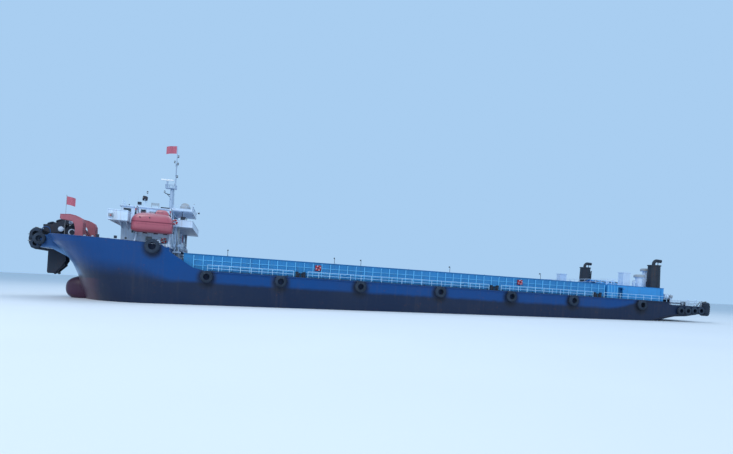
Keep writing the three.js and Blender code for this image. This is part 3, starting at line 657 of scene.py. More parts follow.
def make_materials():
    weathering_group()
    seams_group()
    paint = colours()
    grime = (0.12, 0.11, 0.1, 1)
    made = {
        "hull": hull_material(),
        "rubber": rubber_material("fender_rubber"),
        "glass": glass_material("window_glass"),
        "boat": shell_material("boat_shell", paint.boat),
        "shell_white": shell_material("white_shell", (0.78, 0.8, 0.82)),
        "steel": rough_metal("worn_steel", (0.34, 0.34, 0.33), 0.42, 0.85),
        "wire": rough_metal("wire_rope", (0.12, 0.11, 0.1), 0.5, 0.7, 6.0),
        "bronze": rough_metal("propeller_bronze", paint.bronze, 0.35, 0.95),
        "flag": cloth_material("flag_cloth", paint.flag),
        "lamp": lamp_material("lamp_lens"),
        "wood": wood_material("furniture_wood", (0.2, 0.1, 0.045), 0.05),
        "planks": wood_material("deck_planks", (0.15, 0.095, 0.062), 0.06),
    }
    # finish, name, colour, roughness, streaks, chips, size, fade, seams, dirt
    for finish, name, *look in (
            ("fence", "fence_paint", paint.fence, 0.42, 0.4, 0.25, 1.4, 0.1, (0.125, 0.3),
             (0.03, 0.09, 0.16, 1)),
            ("casing", "casing_paint", paint.casing, 0.42, 0.35, 0.2, 1.4, 0.08, (0.25, 0.22),
             (0.03, 0.12, 0.25, 1)),
            ("white", "white_paint", paint.white, 0.4, 0.55, 0.12, 1.6, 0.05, (0.3, 0.3),
             (0.36, 0.3, 0.24, 1)),
            ("rib", "rib_paint", paint.fence_rib, 0.45, 0.35, 0.3, 2.0, 0.12),
            ("rail", "rail_paint", (0.42, 0.66, 0.86), 0.45, 0.3, 0.2, 2.0, 0.1),
            ("mast", "mast_paint", (0.32, 0.42, 0.55), 0.45, 0.4, 0.15, 2.0, 0.06),
            ("black", "black_paint", paint.black, 0.55, 0.5, 0.5, 3.0, 0.06),
            ("funnel", "funnel_paint", (0.006, 0.016, 0.032), 0.5, 0.5, 0.3, 2.0, 0.04, (0.2, 0.12)),
            ("boot", "boot_paint", paint.boot, 0.7, 0.4, 0.2, 2.0, 0.1),
            ("orange", "orange_paint", paint.orange, 0.45, 0.3, 0.3, 3.0, 0.12, None, grime),
            ("grey", "grey_paint", (0.3, 0.33, 0.36), 0.5, 0.4, 0.2, 2.5, 0.1, None, grime),
            ("board", "board_red", (0.2, 0.02, 0.05), 0.5, 0.2, 0.1, 4.0, 0.1, None, grime),
            ("green", "signal_green", (0.01, 0.25, 0.09), 0.4, 0.2, 0.1, 4.0, 0.1, None, grime),
            ("red", "signal_red", (0.5, 0.02, 0.025), 0.4, 0.2, 0.1, 4.0, 0.1, None, grime)):
        made[finish] = painted(name, *look)
    return made


MATERIALS = {}
# The frame's own pieces that stay in sight; a star stands for port and for starboard
NODE_FINISH = {
    "hull": "hull_midship hull_stern bow_platform",
    "fence": "cargo_fence_front cargo_fence_aft cargo_fence_*",
    "casing": "engine_casing casing_door_*",
    "white": "deckhouse bridge_deck wheelhouse wheelhouse_roof davit_foot_* vent_house_* davit_*",
    "grey": "deckhouse_door_* wheelhouse_door_*",
    "orange": "winch_guard_*",
    "black": "fairlead_frame windlass_frame stern_winch_frame anchor bollard_strip_*",
    "boot": "rudder_*",
    "rubber": "bow_fender stern_fender_*",
    "planks": "cargo_deck",
}


class BARGE_OT_materials(bpy.types.Operator):
    """Makes the finishes and puts them on the frame's own pieces"""
    bl_idname = "barge.materials"
    bl_label = "Finishes"

    def execute(self, context):
        MATERIALS.update(make_materials())
        for finish, names in NODE_FINISH.items():
            for name in names.split():
                for word in SIDES if "*" in name else [""]:
                    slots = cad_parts[name.replace("*", word)].data.materials
                    slots.clear()
                    slots.append(MATERIALS[finish])
        return {"FINISHED"}


class BARGE_OT_stage(bpy.types.Operator):
    """Floor at the waterline, soft light and the picture's camera"""
    bl_idname = "barge.stage"
    bl_label = "Stage and camera"

    def execute(self, context):
        scene = context.scene
        self.floor(scene)
        self.light(scene)
        self.camera(scene)
        scene.view_settings.view_transform = "Standard"
        return {"FINISHED"}

    def floor(self, scene):
        bm = bmesh.new()
        bmesh.ops.create_grid(bm, x_segments=2, y_segments=2, size=120)
        tilt = Matrix.Rotation(-math.atan(WATER_SLOPE), 4, "Y")
        level = Matrix.Translation((0, 0, WATER_AT_STEM + WATER_SLOPE * MIDDLE))
        bmesh.ops.transform(bm, matrix=level @ tilt, verts=bm.verts)
        mesh = bpy.data.meshes.new("floor")
        bm.to_mesh(mesh)
        bm.free()
        material, tree, shader, vector = new_material("floor_paper")
        tone = mix(tree, noise(tree, vector, 0.6, 2), (0.70, 0.72, 0.74), (0.74, 0.76, 0.78))
        feed(tree, shader, {"Base Color": tone, "Roughness": 0.7})
        mesh.materials.append(material)
        floor = bpy.data.objects.new("floor", mesh)
        scene.collection.objects.link(floor)

    def light(self, scene):
        world = bpy.data.worlds.new("studio")
        scene.world = world
        world.use_nodes = True
        background = world.node_tree.nodes["Background"]
        background.inputs["Color"].default_value = (0.45, 0.7, 1.0, 1)
        background.inputs["Strength"].default_value = 0.88
        # name, place, size, power, colour
        lamps = (
            ("key", (-9, -9, 10), 7, 900, (1, 0.98, 0.95)),
            ("fill", (8, -12, 7), 9, 300, (0.93, 0.97, 1)),
            ("top", (2, 6, 12), 10, 520, (1, 1, 1)),
        )
        for name, place, size, power, tint in lamps:
            data = bpy.data.lights.new(name, "AREA")
            data.size, data.energy, data.color = size, power, tint
            lamp = bpy.data.objects.new(name, data)
            lamp.location = place
            lamp.rotation_euler = (Vector((-1, 0, 0.6)) - Vector(place)).to_track_quat("-Z", "Y").to_euler()
            scene.collection.objects.link(lamp)

    def camera(self, scene):
        forward = Vector((math.sin(CAMERA_YAW), math.cos(CAMERA_YAW), 0))
        right = Vector((math.cos(CAMERA_YAW), -math.sin(CAMERA_YAW), 0))
        rolled = Matrix.Rotation(-CAMERA_ROLL, 3, forward)
        axes = Matrix((rolled @ right, rolled @ Z, -forward)).transposed()
        data = bpy.data.cameras.new("picture")
        data.sensor_width = 36
        data.lens = data.sensor_width * CAMERA_FOCUS_PX / PICTURE_WIDTH
        data.shift_y = CAMERA_SHIFT
        data.clip_start, data.clip_end = 0.1, 400
        camera = bpy.data.objects.new("picture", data)
        camera.matrix_world = Matrix.Translation(CAMERA_PLACE) @ axes.to_4x4()
        scene.collection.objects.link(camera)
        scene.camera = camera


# Waterlines of the bow, as the frame has them: height, stem, shoulder, half breadth, how fine it closes in
BOW_LINES = (
    (0.0, 0.330, 1.300, 0.960, 1.5),
    (0.035, 0.265, 1.250, 1.045, 1.45),
    (0.12, 0.200, 1.180, 1.1, 1.4),
    (0.3, 0.125, 1.050, 1.1, 1.3),
    (0.47, 0.080, 0.950, 1.1, 1.2),
    (0.62, 0.015, 0.860, 1.1, 1.1),
    (0.7, -0.045, 0.810, 1.1, 1.05),
    (0.8, -0.125, 0.750, 1.1, 0.98),
    (0.9, -0.246, 0.680, 1.1, 0.9),
    (1.01, -0.320, 0.620, 1.1, 0.87),
)
# Top edge of the bulwark, aft and up: gently down from the stem, then down the wing to the main deck
BULWARK_TOP = (
    (-0.4, 1.002), (0.2, 0.966), (0.62, 0.955), (1.277, 0.938), (1.336, 0.889), (1.385, 0.843),
    (1.545, 0.748), (1.683, 0.657), (1.84, 0.622),
)
PLATING = 0.012


def between(rows, place):
    """The rest of a row at a place, found between the two rows on either side of it."""
    for low, high in zip(rows, rows[1:]):
        if place <= high[0] + 1e-9:
            share = max(0.0, place - low[0]) / (high[0] - low[0])
            return [a + (b - a) * share for a, b in zip(low[1:], high[1:])]
    return list(rows[-1][1:])


def bow_outline(height, aft, steps=26, inset=0.0):
    """Half outline of the bow at a height, from the given place round the shoulder to the stem."""
    stem, shoulder, half, fine = between(BOW_LINES, height)
    points = [(aft, half - inset)]
    for i in range(steps + 1):
        angle = math.pi / 2 * i / steps
        reach = shoulder - (shoulder - stem - inset) * math.sin(angle)
        points.append((reach, (half - inset) * max(math.cos(angle), 0) ** fine))
    return points


def bow_ring(height, aft, notched=False):
    half = bow_outline(height, aft)
    if notched:
        inner, step = HALF_BEAM - 0.0125, 1.29
        half = [(aft, inner), (step, inner), (step, HALF_BEAM), *half[1:]]
    whole = half + [(x, -y) for x, y in reversed(half[:-1])]
    return [at(x, y, height) for x, y in whole]


def bulwark_top(aft):
    return between(BULWARK_TOP, aft)[0]


def round_the_bow(half):
    """Half a line of ship places, carried on round the stem to the other side."""
    return [at(x, -y, z) for x, y, z in half] + [at(x, y, z) for x, y, z in reversed(half[:-1])]


class BARGE_OT_bow(bpy.types.Operator):
    """Smooth bow with its bulb, and the bulwark with its stays and cap rail"""
    bl_idname = "barge.bow"
    bl_label = "Bow"

    def execute(self, context):
        self.shell()
        self.bulwark()
        self.stays()
        return {"FINISHED"}

    def shell(self):
        bm = bmesh.new()
        joint, back = 1.84, 1.39
        levels = [0.0, 0.012, 0.035, 0.075, 0.12] + [0.12 + 0.05 * i for i in range(1, 10)] + [DECK]
        skin(bm, [bow_ring(z, joint) for z in levels])
        skin(bm, [bow_ring(DECK + (FORECASTLE - DECK) * i / 7, back, True) for i in range(8)])
        block(bm, (1.385, 1.485), (-0.62, 0.62), (FORECASTLE - 0.015, FORECASTLE))
        self.bulb(bm, Vector((0.385, 0.185, 0.185)), at(0.302, 0, 0.275))
        piece(bm, "bow_shell", "hull", smooth=30, replaces="hull_bow")

    def bulb(self, bm, half, centre, fullness=2.7):
        """An ellipsoid swollen towards its box."""
        for vert in ball(bm, (0, 0, 0), 1, 48):
            swell = sum(abs(c) ** fullness for c in vert.co) ** (-1 / fullness)
            vert.co = centre + half * swell * vert.co

    def bulwark(self):
        """Two skins from the deck's edge to the top edge, joined round their rims."""
        bm = bmesh.new()
        end, wing = 1.838, 1.29
        for inset in (0.0, PLATING):
            rows = []
            for share in (0, 0.34, 0.67, 1):
                half = []
                for i in range(10):
                    aft = end - (end - wing) * i / 9
                    half.append((aft, HALF_BEAM - inset, DECK + (bulwark_top(aft) - DECK) * share))
                for (x0, y0), (x1, y1) in zip(bow_outline(FORECASTLE, wing, 30, inset),
                                              bow_outline(0.99, wing, 30, inset)):
                    top = bulwark_top(x1)
                    flare = (top - FORECASTLE) / 0.09 * share
                    up = FORECASTLE + (top - FORECASTLE) * share
                    half.append((x0 + (x1 - x0) * flare, y0 + (y1 - y0) * flare, up))
                rows.append(round_the_bow(half))
            skin(bm, rows, closed=False, caps=False)
        bmesh.ops.bridge_loops(bm, edges=[e for e in bm.edges if len(e.link_faces) == 1])
        piece(bm, "bulwark_plating", "hull", smooth=30, replaces="forecastle_bulwark")

    def stays(self):
        """Cap rail along the top edge, and brackets inside."""
        bm = bmesh.new()
        end, wing = 1.838, 1.277
        middle = PLATING / 2
        half = []
        for aft in [end - (end - wing) * i / 12 for i in range(12)]:
            half.append((aft, HALF_BEAM - middle, bulwark_top(aft)))
        half += [(x, y, bulwark_top(x)) for x, y in bow_outline(0.985, wing, 30, middle)]
        tube(bm, round_the_bow(half), 0.006, 8)
        for side in BOTH:
            for x, y in bow_outline(FORECASTLE, 1.2, 30, PLATING)[2:-2:3]:
                inward = (Vector((0.32, 0)) - Vector((x, y))).normalized() * 0.028
                foot = at(x, y * side, FORECASTLE)
                run = Vector((inward.x, inward.y * side, 0))
                head = at(x, y * side, bulwark_top(x) - PLATING)
                across = run.cross(Z).normalized() * 0.0025
                slab(bm, [foot - across / 2, foot + run - across / 2, head - across / 2], across)
        piece(bm, "bulwark_stays", "hull")


class BARGE_OT_fence(bpy.types.Operator):
    """Ribs and coaming of the cargo fence and the casing"""
    bl_idname = "barge.fence"
    bl_label = "Cargo fence"

    def execute(self, context):
        self.ribs()
        self.capping()
        return {"FINISHED"}

    def ribs(self):
        width, spacing = sizes().rib_width, sizes().rib_spacing
        outer, deep = 1.02, 0.012
        foot, top = DECK + 0.001, FENCE_HIGH.z
        bm = bmesh.new()
        for aft in [1.7 + spacing * i for i in range(51)] + [7.984]:
            blocks(bm, [((aft - width / 2, aft + width / 2), (outer, outer + deep), (foot, top - 0.012))])
        for up in (0.693, 0.766):
            blocks(bm, [((1.7, 7.985), (outer, outer + 0.008), (up - 0.004, up + 0.004))])
        for aft in [8.055 + 0.0575 * i for i in range(4)]:
            blocks(bm, [((aft, aft + width), (1.01, 1.021), (foot, CASING_HIGH.z - 0.008))])
        for y in [i * 0.125 for i in range(-7, 8)]:
            for aft in (1.57 - deep, 7.99):
                block(bm, (aft, aft + deep), (y - width / 2, y + width / 2), (foot, top - 0.004))
        piece(bm, "fence_ribs", "rib", bevel=(0.0012, 1))

    def capping(self):
        bm = bmesh.new()
        top, cap = FENCE_HIGH.z, FENCE_HIGH.z + 0.006
        blocks(bm, [((1.57, 7.99), (1.003, 1.032), (top, cap)),
                    ((8.05, CASING_AFT), (0.99, 1.02), (CASING_HIGH.z, CASING_HIGH.z + 0.004))])
        for aft in (1.57, 7.975):
            block(bm, (aft - 0.006, aft + 0.021), (-1.01, 1.01), (top, cap))
        piece(bm, "fence_capping", "fence", bevel=(0.001, 1))


def rail_run(bm, points, height, bars=(0.5, 1.0), closed=False, spacing=None):
    """A rail on posts along a line of foot places."""
    radius = sizes().rail_radius
    spacing = spacing or sizes().rail_spacing
    spans = list(zip(points, points[1:])) + ([(points[-1], points[0])] if closed else [])
    for start, end in spans:
        count = max(1, round((end - start).length / spacing))
        for i in range(count + (0 if closed else 1)):
            foot = start.lerp(end, i / count)
            rod(bm, foot, foot + Z * height, radius, sides=6)
        for share in bars:
            up = Z * height * share
            rod(bm, start + up, end + up, radius * (1 if share == 1 else 0.8), sides=6)


class BARGE_OT_rails(bpy.types.Operator):
    """Hand rails round the decks, ladders and stairs"""
    bl_idname = "barge.rails"
    bl_label = "Rails and ladders"

    def execute(self, context):
        self.deck_edge()
        self.upper()
        self.ladders()
        return {"FINISHED"}

    def deck_edge(self):
        """Rails on the main deck, with a gap at each pair of bollards."""
        bm = bmesh.new()
        stops = [1.885] + [b + d for b in BOLLARD_STATIONS for d in (-0.1, 0.1)] + [CASING_AFT]
        for side in BOTH:
            for ends in zip(stops[::2], stops[1::2]):
                rail_run(bm, [at(x, side * 1.09, DECK) for x in ends], sizes().rail_height)
        piece(bm, "deck_edge_rails", "rail")

    def upper(self):
        bm = bmesh.new()
        stern = [(9.18, 1.08, STERN_DECK), (9.4, 1.08, STERN_DECK), (9.83, 1.045, STERN_DECK)]
        rail_run(bm, over(stern, -1) + over(stern)[::-1], 0.082, (0.35, 0.68, 1.0), spacing=0.13)
        roof = CASING_HIGH.z
        for aft, reach in ((8.07, 0.97), (9.09, 0.74)):
            rail_run(bm, [at(aft, -reach, roof), at(aft, reach, roof)], 0.09)
        # height of rail, foot places
        for height, feet in (
                (0.09, [(8.07, 0.985, roof + 0.005), (8.3, 0.985, roof + 0.005)]),
                (0.1, [(1.48, 0.1, FORECASTLE), (1.48, 0.61, FORECASTLE), (1.4, 0.61, FORECASTLE)]),
                (0.06, [(0.69, 0.545, ROOF_TOP - 0.001), (0.69, 0.3, ROOF_TOP - 0.001)])):
            for side in BOTH:
                rail_run(bm, over(feet, side), height)
        piece(bm, "upper_rails", "white")

    def ladders(self):
        bm = bmesh.new()
        # foot, head, width, steps
        for foot, head, width, steps in (
                ((1.66, 0.05, DECK), (1.487, 0.05, FORECASTLE), 0.07, 10),
                ((1.51, 0.7, FORECASTLE - 0.28), (1.43, 0.7, BRIDGE_TOP), 0.06, 20),
                ((9.125, 0.8, STERN_DECK), (9.125, 0.8, CASING_HIGH.z + 0.05), 0.05, 9),
                ((1.345, 0.36, BRIDGE_TOP), (1.345, 0.36, ROOF_TOP + 0.06), 0.05, 10)):
            for side in BOTH:
                low, high = over((foot, head), side)
                reach = Vector((0, width / 2, 0))
                for shift in (-reach, reach):
                    rod(bm, low + shift, high + shift, 0.0039, sides=6)
                for i in range(1, steps):
                    rung = low.lerp(high, i / steps)
                    rod(bm, rung - reach, rung + reach, 0.003, sides=6)
        piece(bm, "ladders", "white")


def tyre(bm, centre, outer, half_width):
    """A tyre lying against the side: rounded tread with grooves, and a hollow inside."""
    hole = 0.5
    # shares of the outer radius and of the half width, from the bead over the tread to its middle
    face = [(hole, 0.75), (hole * 1.04, 1), (0.82, 1), (0.95, 0.8), (1, 0.5), (0.985, 0.3), (1, 0.2)]
    inside = [(0.8, -0.62), (0.86, 0), (0.8, 0.62), (hole, 0.75)]
    shares = face + [(r, -w) for r, w in reversed(face)] + inside
    lathe(bm, [(r * outer, w * half_width) for r, w in shares], centre, Y, 36)


class BARGE_OT_fenders(bpy.types.Operator):
    """Tyre fenders with their chains, and the rub rail"""
    bl_idname = "barge.fenders"
    bl_label = "Tyre fenders"

    def execute(self, context):
        for word, side in SIDES.items():
            bm = bmesh.new()
            block(bm, (1.86, 9.38), (side * (HALF_BEAM + 0.0003), side * (HALF_BEAM + 0.009)),
                  (DECK - 0.016, DECK - 0.002))
            piece(bm, f"rub_rail_{word}", "hull", bevel=(0.003, 2))
            bm = bmesh.new()
            for aft in TYRE_STATIONS:
                tyre(bm, at(aft, side * (HALF_BEAM + 0.0265), TYRE_HEIGHT), 0.081, 0.026)
            piece(bm, f"tyres_{word}", "rubber", smooth=40, replaces=f"side_rail_{word}")
            bm = bmesh.new()
            tyre(bm, at(BOW_TYRE[0], side * (HALF_BEAM + 0.0282), BOW_TYRE[1]), 0.094, 0.028)
            piece(bm, f"bow_tyre_{word}_round", "rubber", smooth=40, replaces=f"bow_tyre_{word}")
            self.chains(side, word)
        return {"FINISHED"}

    def chains(self, side, word, link=0.011):
        """Two chains from the deck's edge to each tyre."""
        bm = bmesh.new()
        places = [(a, TYRE_HEIGHT, DECK) for a in TYRE_STATIONS] + [(*BOW_TYRE, bulwark_top(BOW_TYRE[0]))]
        for aft, up, edge in places:
            for spread in (-0.03, 0.03):
                line = over([(aft + spread * 1.7, HALF_BEAM - 0.004, edge + 0.004),
                             (aft + spread * 1.5, HALF_BEAM + 0.026, edge - 0.012),
                             (aft + spread, HALF_BEAM + 0.052, up + 0.045)], side)
                for start, end in zip(line, line[1:]):
                    count = max(1, round((end - start).length / link))
                    for i in range(count):
                        low, high = (start.lerp(end, share / count) for share in (i, i + 1.25))
                        rod(bm, low, high, 0.0022, sides=6)
        piece(bm, f"tyre_chains_{word}", "steel")


def wall_block(bm, axis, face, depths, span, up):
    """A block on or in a house wall: depths run outward from its face, span along it."""
    outward = math.copysign(1, face - HOUSE_MIDDLE if axis == "x" else face)
    places = [face + outward * depth for depth in depths]
    if axis == "x":
        block(bm, places, span, up)
    else:
        block(bm, span, places, up)


def rim(bm, axis, face, span, up, width=0.006, proud=0.003):
    """A raised frame round a hole in a wall."""
    (a, b), (low, high) = span, up
    for part_span, part_up in (
            ((a - width, b + width), (high, high + width)), ((a - width, b + width), (low - width, low)),
            ((a - width, a), (low, high)), ((b, b + width), (low, high))):
        wall_block(bm, axis, face, (-0.001, proud), part_span, part_up)


def window(frames, panes, axis, face, span, up):
    rim(frames, axis, face, span, up)
    wall_block(panes, axis, face, (-0.009, -0.006), span, up)


def louvre(bm, axis, face, span, up, slats=6):
    """A framed grille of flat slats."""
    rim(bm, axis, face, span, up, 0.004, 0.006)
    step = (up[1] - up[0]) / slats
    for i in range(slats):
        wall_block(bm, axis, face, (0.0005, 0.004), span, (up[0] + i * step, up[0] + (i + 0.55) * step))


def lifebuoy(red, white, centre):
    """A ring in four red and four white lengths, with its face across the ship."""
    major, minor = sizes().lifebuoy_radius * 0.78, sizes().lifebuoy_radius * 0.24
    turn = facing(Y).to_3x3()
    for i in range(8):
        start, end = i * 45 + (13 if i % 2 else -13), i * 45 + (32 if i % 2 else 58)
        bend = arc(centre, start, end, turn @ X * major, turn @ Y * major, 4)
        tube(white if i % 2 else red, bend, minor * (1.03 if i % 2 else 1), 10)


def bulkhead_lamp(bm, glass, place, out):
    """A round lamp with a guard, on a wall."""
    rod(bm, place, place + out * 0.006, 0.011, sides=12)
    ball(glass, place + out * 0.009, 0.0085, 10)
    for way in (out.cross(Z), Z):
        tube(bm, arc(place + out * 0.005, 0, 180, way * 0.0115, out * 0.015, 6), 0.001, 5)


class BARGE_OT_house(bpy.types.Operator):
    """Windows, doors, fittings and rooms of the deckhouse and wheelhouse"""
    bl_idname = "barge.house"
    bl_label = "House fittings"

    side_panes = ((0.7, 0.79), (0.85, 0.89), (0.925, 0.985), (1.18, 1.24))
    front_panes = ((-0.44, -0.33), (-0.3, -0.19), (-0.16, -0.05), (0.05, 0.16), (0.19, 0.3), (0.33, 0.44))

    def execute(self, context):
        self.windows()
        self.trim()
        self.fittings()
        self.doors()
        self.rooms()
        return {"FINISHED"}

    def windows(self):
        frames, panes = bmesh.new(), bmesh.new()
        for side in BOTH:
            for x in (0.87, 1.01, 1.15, 1.27):
                window(frames, panes, "y", side * HOUSE_HALF, (x, x + 0.05), (1.08, 1.13))
            for span in self.side_panes:
                window(frames, panes, "y", side * WHEELHOUSE_HALF, span, (1.352, 1.428))
            for x in (0.8, 1.193):
                ring(frames, at(x, side * HOUSE_HALF, 0.995), Y, 0.014, 0.003, 20, 8)
        rods(panes, [((x, 0.798, 0.995), (x, 0.801, 0.995), 0.013) for x in (0.8, 1.193)], 20)
        for y in (-0.6, -0.35, -0.1, 0.15, 0.4, 0.6):
            window(frames, panes, "x", HOUSE_FORE, (y, y + 0.06), (1.07, 1.13))
        for span in self.front_panes:
            window(frames, panes, "x", WHEELHOUSE_FORE, span, (1.345, 1.428))
            wiper = at(0.664, sum(span) / 2, 1.349)
            rod(frames, wiper, wiper + Vector((0, 0.02, 0.06)), 0.0012, sides=5)
        for span in self.front_panes[1:5]:
            window(frames, panes, "x", WHEELHOUSE_AFT, span, (1.36, 1.42))
        piece(frames, "window_frames", "grey", bevel=(0.0008, 1))
        piece(panes, "window_panes", "glass")

    def trim(self):
        """Round corners, eaves and drip edges."""
        bm = bmesh.new()
        wall, wheel, wing, tip = HOUSE_HALF, WHEELHOUSE_HALF, 0.855, 1.1
        sill, coaming = 1.208, 1.331
        # On each side: start, end and radius
        rods(bm, [
            *[((x, wall, FORECASTLE + 0.001), (x, wall, 1.2), 0.005) for x in (HOUSE_FORE, HOUSE_AFT)],
            *[((x, wheel, BRIDGE_TOP), (x, wheel, 1.45), 0.004) for x in (WHEELHOUSE_FORE, WHEELHOUSE_AFT)],
            ((0.645, 0.49, 1.461), (1.61, 0.49, 1.461), 0.0065),
            ((0.62, tip, coaming), (wing, tip, coaming), 0.006),
            ((wing, tip, coaming), (wing, 0.84, coaming), 0.006),
            ((0.62, 0.54, coaming), (0.62, tip, coaming), 0.006),
            ((0.62, tip, 1.21), (0.62, tip, coaming), 0.005),
            ((wing, tip, 1.21), (wing, tip, coaming), 0.005),
            ((0.62, tip, sill), (wing, tip, sill), 0.007),
            ((wing, wall, sill), (1.64, wall, sill), 0.006),
            ((HOUSE_AFT, wall, 1.296), (1.64, wall, 1.296), 0.005),
            ((WHEELHOUSE_AFT, 0.486, 1.483), (1.61, 0.486, 1.483), 0.005)], 10)
        rods(bm, [
            ((1.34, 0.486, 1.53), (1.61, 0.486, 1.53), 0.0022),
            *[((x, 0.486, 1.48), (x, 0.486, 1.53), 0.0022) for x in (1.34, 1.43, 1.52)],
            *[((x, 0.8045, 0.905), (x, 0.8045, 1.195), 0.0038) for x in (0.9, 1.34)]])
        blocks(bm, [((0.86, 1.33), (wall, 0.803), (1.142, 1.147)),
                    ((0.69, 1.25), (wheel, 0.4825), (1.434, 1.438))])
        # Across the ship: aft, half length, up and radius
        for aft, reach, up, radius in (
                (0.645, 0.49, 1.461, 0.0065), (1.61, 0.486, 1.533, 0.005), (1.64, 0.8, 1.296, 0.005),
                (0.62, tip, sill, 0.006), (1.64, 0.8, sill, 0.006)):
            rod(bm, at(aft, -reach, up), at(aft, reach, up), radius, sides=10)
        for y, foot in ((0.25, FORECASTLE), (0.7, DECK)):
            rods(bm, [((1.42, y, foot), (1.42, y, 1.2), 0.009)], 12)
        piece(bm, "house_trim", "white")
        bm = bmesh.new()
        foot = (1.455, 0.7, DECK + 0.001)
        rods(bm, [(foot, (1.455, 0.7, 1.2), 0.019), (foot, (1.455, 0.7, DECK + 0.012), 0.03)], 20)
        piece(bm, "gallery_columns", "grey")

    def fittings(self):
        grey, red, white, glass, dark = drafts(5)
        for side in BOTH:
            wall = side * HOUSE_HALF
            louvre(grey, "y", wall, (1.052, 1.128), (0.985, 1.035))
            # Painted shade: a thin black sheet behind the grille's slats stands in for the shadowed opening
            # behind it
            wall_block(dark, "y", wall, (0.0005, 0.0016), (1.052, 1.128), (0.985, 1.035))
            wall_block(dark, "y", wall, (0.0005, 0.012), (0.76, 0.785), (0.93, 0.975))
            wall_block(grey, "y", wall, (0.0005, 0.004), (1.246, 1.322), (0.96, 1.036))
            wall_block(grey, "y", wall, (0.0005, 0.014), (0.93, 0.965), (0.92, 0.97))
            lifebuoy(red, white, at(1.284, side * 0.812, 0.998))
            lifebuoy(red, white, at(1.41, side * 0.812, 1.262))
            for x, y, up, out in (
                    (1.1, 0.801, 1.17, Y * side), (1.13, 0.481, 1.42, Y * side), (1.386, 0.43, 1.14, X)):
                bulkhead_lamp(grey, glass, at(x, y * side, up), out)
            self.sidelight(grey, side)
        rods(grey, [((x, 0.806, 1.04), (x + 0.03, 0.806, 1.04), 0.0018) for x in (0.96, 1.215)], 6)
        piece(grey, "wall_fittings", "grey")
        piece(red, "lifebuoy_red", "red", smooth=50)
        piece(white, "lifebuoy_white", "shell_white", smooth=50)
        piece(glass, "lamp_glass", "lamp", smooth=60)
        piece(dark, "dark_fittings", "black")

    def sidelight(self, screen, side):
        """Navigation light in its screen on the wing's outer face."""
        blocks(screen, [((0.628, 0.68), (1.101, 1.104), (1.24, 1.282)),
                        ((0.674, 0.68), (1.104, 1.124), (1.24, 1.282)),
                        ((0.628, 0.68), (1.104, 1.124), (1.24, 1.243))], (side,))
        bm = bmesh.new()
        rods(bm, [((0.657, 1.114, 1.243), (0.657, 1.114, 1.262), 0.006)], 16, (side,))
        name, finish = ("port", "red") if side < 0 else ("starboard", "green")
        piece(bm, f"sidelight_{name}", finish)

    def doors(self):
        """Handles, glazing and panels on each leaf."""
        for word, side in SIDES.items():
            # name, axis of the wall, its face, the hinge's place along it, the foot, finish of the panel
            for name, axis, face, hinge, low, finish in (
                    ("deckhouse_door", "x", HOUSE_AFT, side * 0.47, 0.915, "white"),
                    ("casing_door", "x", CASING_AFT, side * 0.42, 0.635, "rib"),
                    ("wheelhouse_door", "y", side * WHEELHOUSE_HALF, 1.04, 1.23, "white")):
                metal, pane = drafts(2)
                away = -side if axis == "x" else 1
                leaf, glazed, handle = (sorted((hinge + away * a, hinge + away * b)) for a, b in (
                    (0.01, 0.066), (0.02, 0.056), (0.05, 0.068)))
                rim(metal, axis, face, leaf, (low + 0.012, low + 0.164), 0.004, 0.002)
                rim(metal, axis, face, glazed, (low + 0.1, low + 0.15), 0.004, 0.004)
                wall_block(pane, axis, face, (-0.0005, 0.0015), glazed, (low + 0.1, low + 0.15))
                grip = (low + 0.078, low + 0.083)
                wall_block(metal, axis, face, (0.006, 0.009), handle, grip)
                wall_block(metal, axis, face, (0, 0.009), (handle[0] + 0.006, handle[0] + 0.012), grip)
                body = f"{name}_{word}"
                piece(metal, f"{body}_panel", finish, body, bevel=(0.0007, 1))
                piece(pane, f"{body}_pane", "glass", body)

    def rooms(self):
        """What shows through the glass: helm, consoles and chairs of the wheelhouse, and tables below."""
        bm, wood, dark = drafts(3)
        floor, cabin = BRIDGE_TOP + 0.001, 0.902
        block(bm, (0.69, 0.76), (-0.32, 0.32), (floor, 1.3))
        block(bm, (0.7, 0.75), (-0.28, -0.12), (1.3, 1.33))
        for y in (-0.22, -0.1, 0.02, 0.14):
            block(dark, (0.752, 0.762), (y, y + 0.07), (1.272, 1.296))
        helm = at(0.8, 0, 1.31)
        ring(dark, helm, (1, 0, 0.2), 0.035, 0.003, 24, 8)
        rod(dark, at(0.76, 0, 1.302), helm, 0.005, sides=10)
        for spoke in arc((0, 0, 0), 0, 120, Y * 0.035, Z * 0.035, 2):
            rod(dark, helm - spoke, helm + spoke, 0.002, sides=6)
        for y in (-0.2, 0.2):
            rod(dark, at(0.88, y, floor), at(0.88, y, 1.27), 0.008, sides=12)
            block(dark, (0.855, 0.905), (y - 0.026, y + 0.026), (1.27, 1.282))
            block(dark, (0.9, 0.912), (y - 0.024, y + 0.024), (1.282, 1.345))
        block(wood, (1.22, 1.31), (-0.4, -0.1), (floor, 1.29))
        block(wood, (1.0, 1.3), (0.36, 0.46), (floor, 1.26))
        for y in (-0.5, 0.3):
            block(wood, (0.95, 1.1), (y, y + 0.2), (0.97, 0.98))
            for x in (0.96, 1.08):
                rod(dark, at(x, y + 0.1, cabin), at(x, y + 0.1, 0.97), 0.006, sides=10)
            block(dark, (0.85, 0.91), (y, y + 0.2), (cabin, 0.95))
        piece(bm, "helm_console", "grey", bevel=(0.003, 2))
        piece(wood, "cabin_furniture", "wood", bevel=(0.003, 2))
        piece(dark, "helm_seats", "rubber", bevel=(0.002, 2))


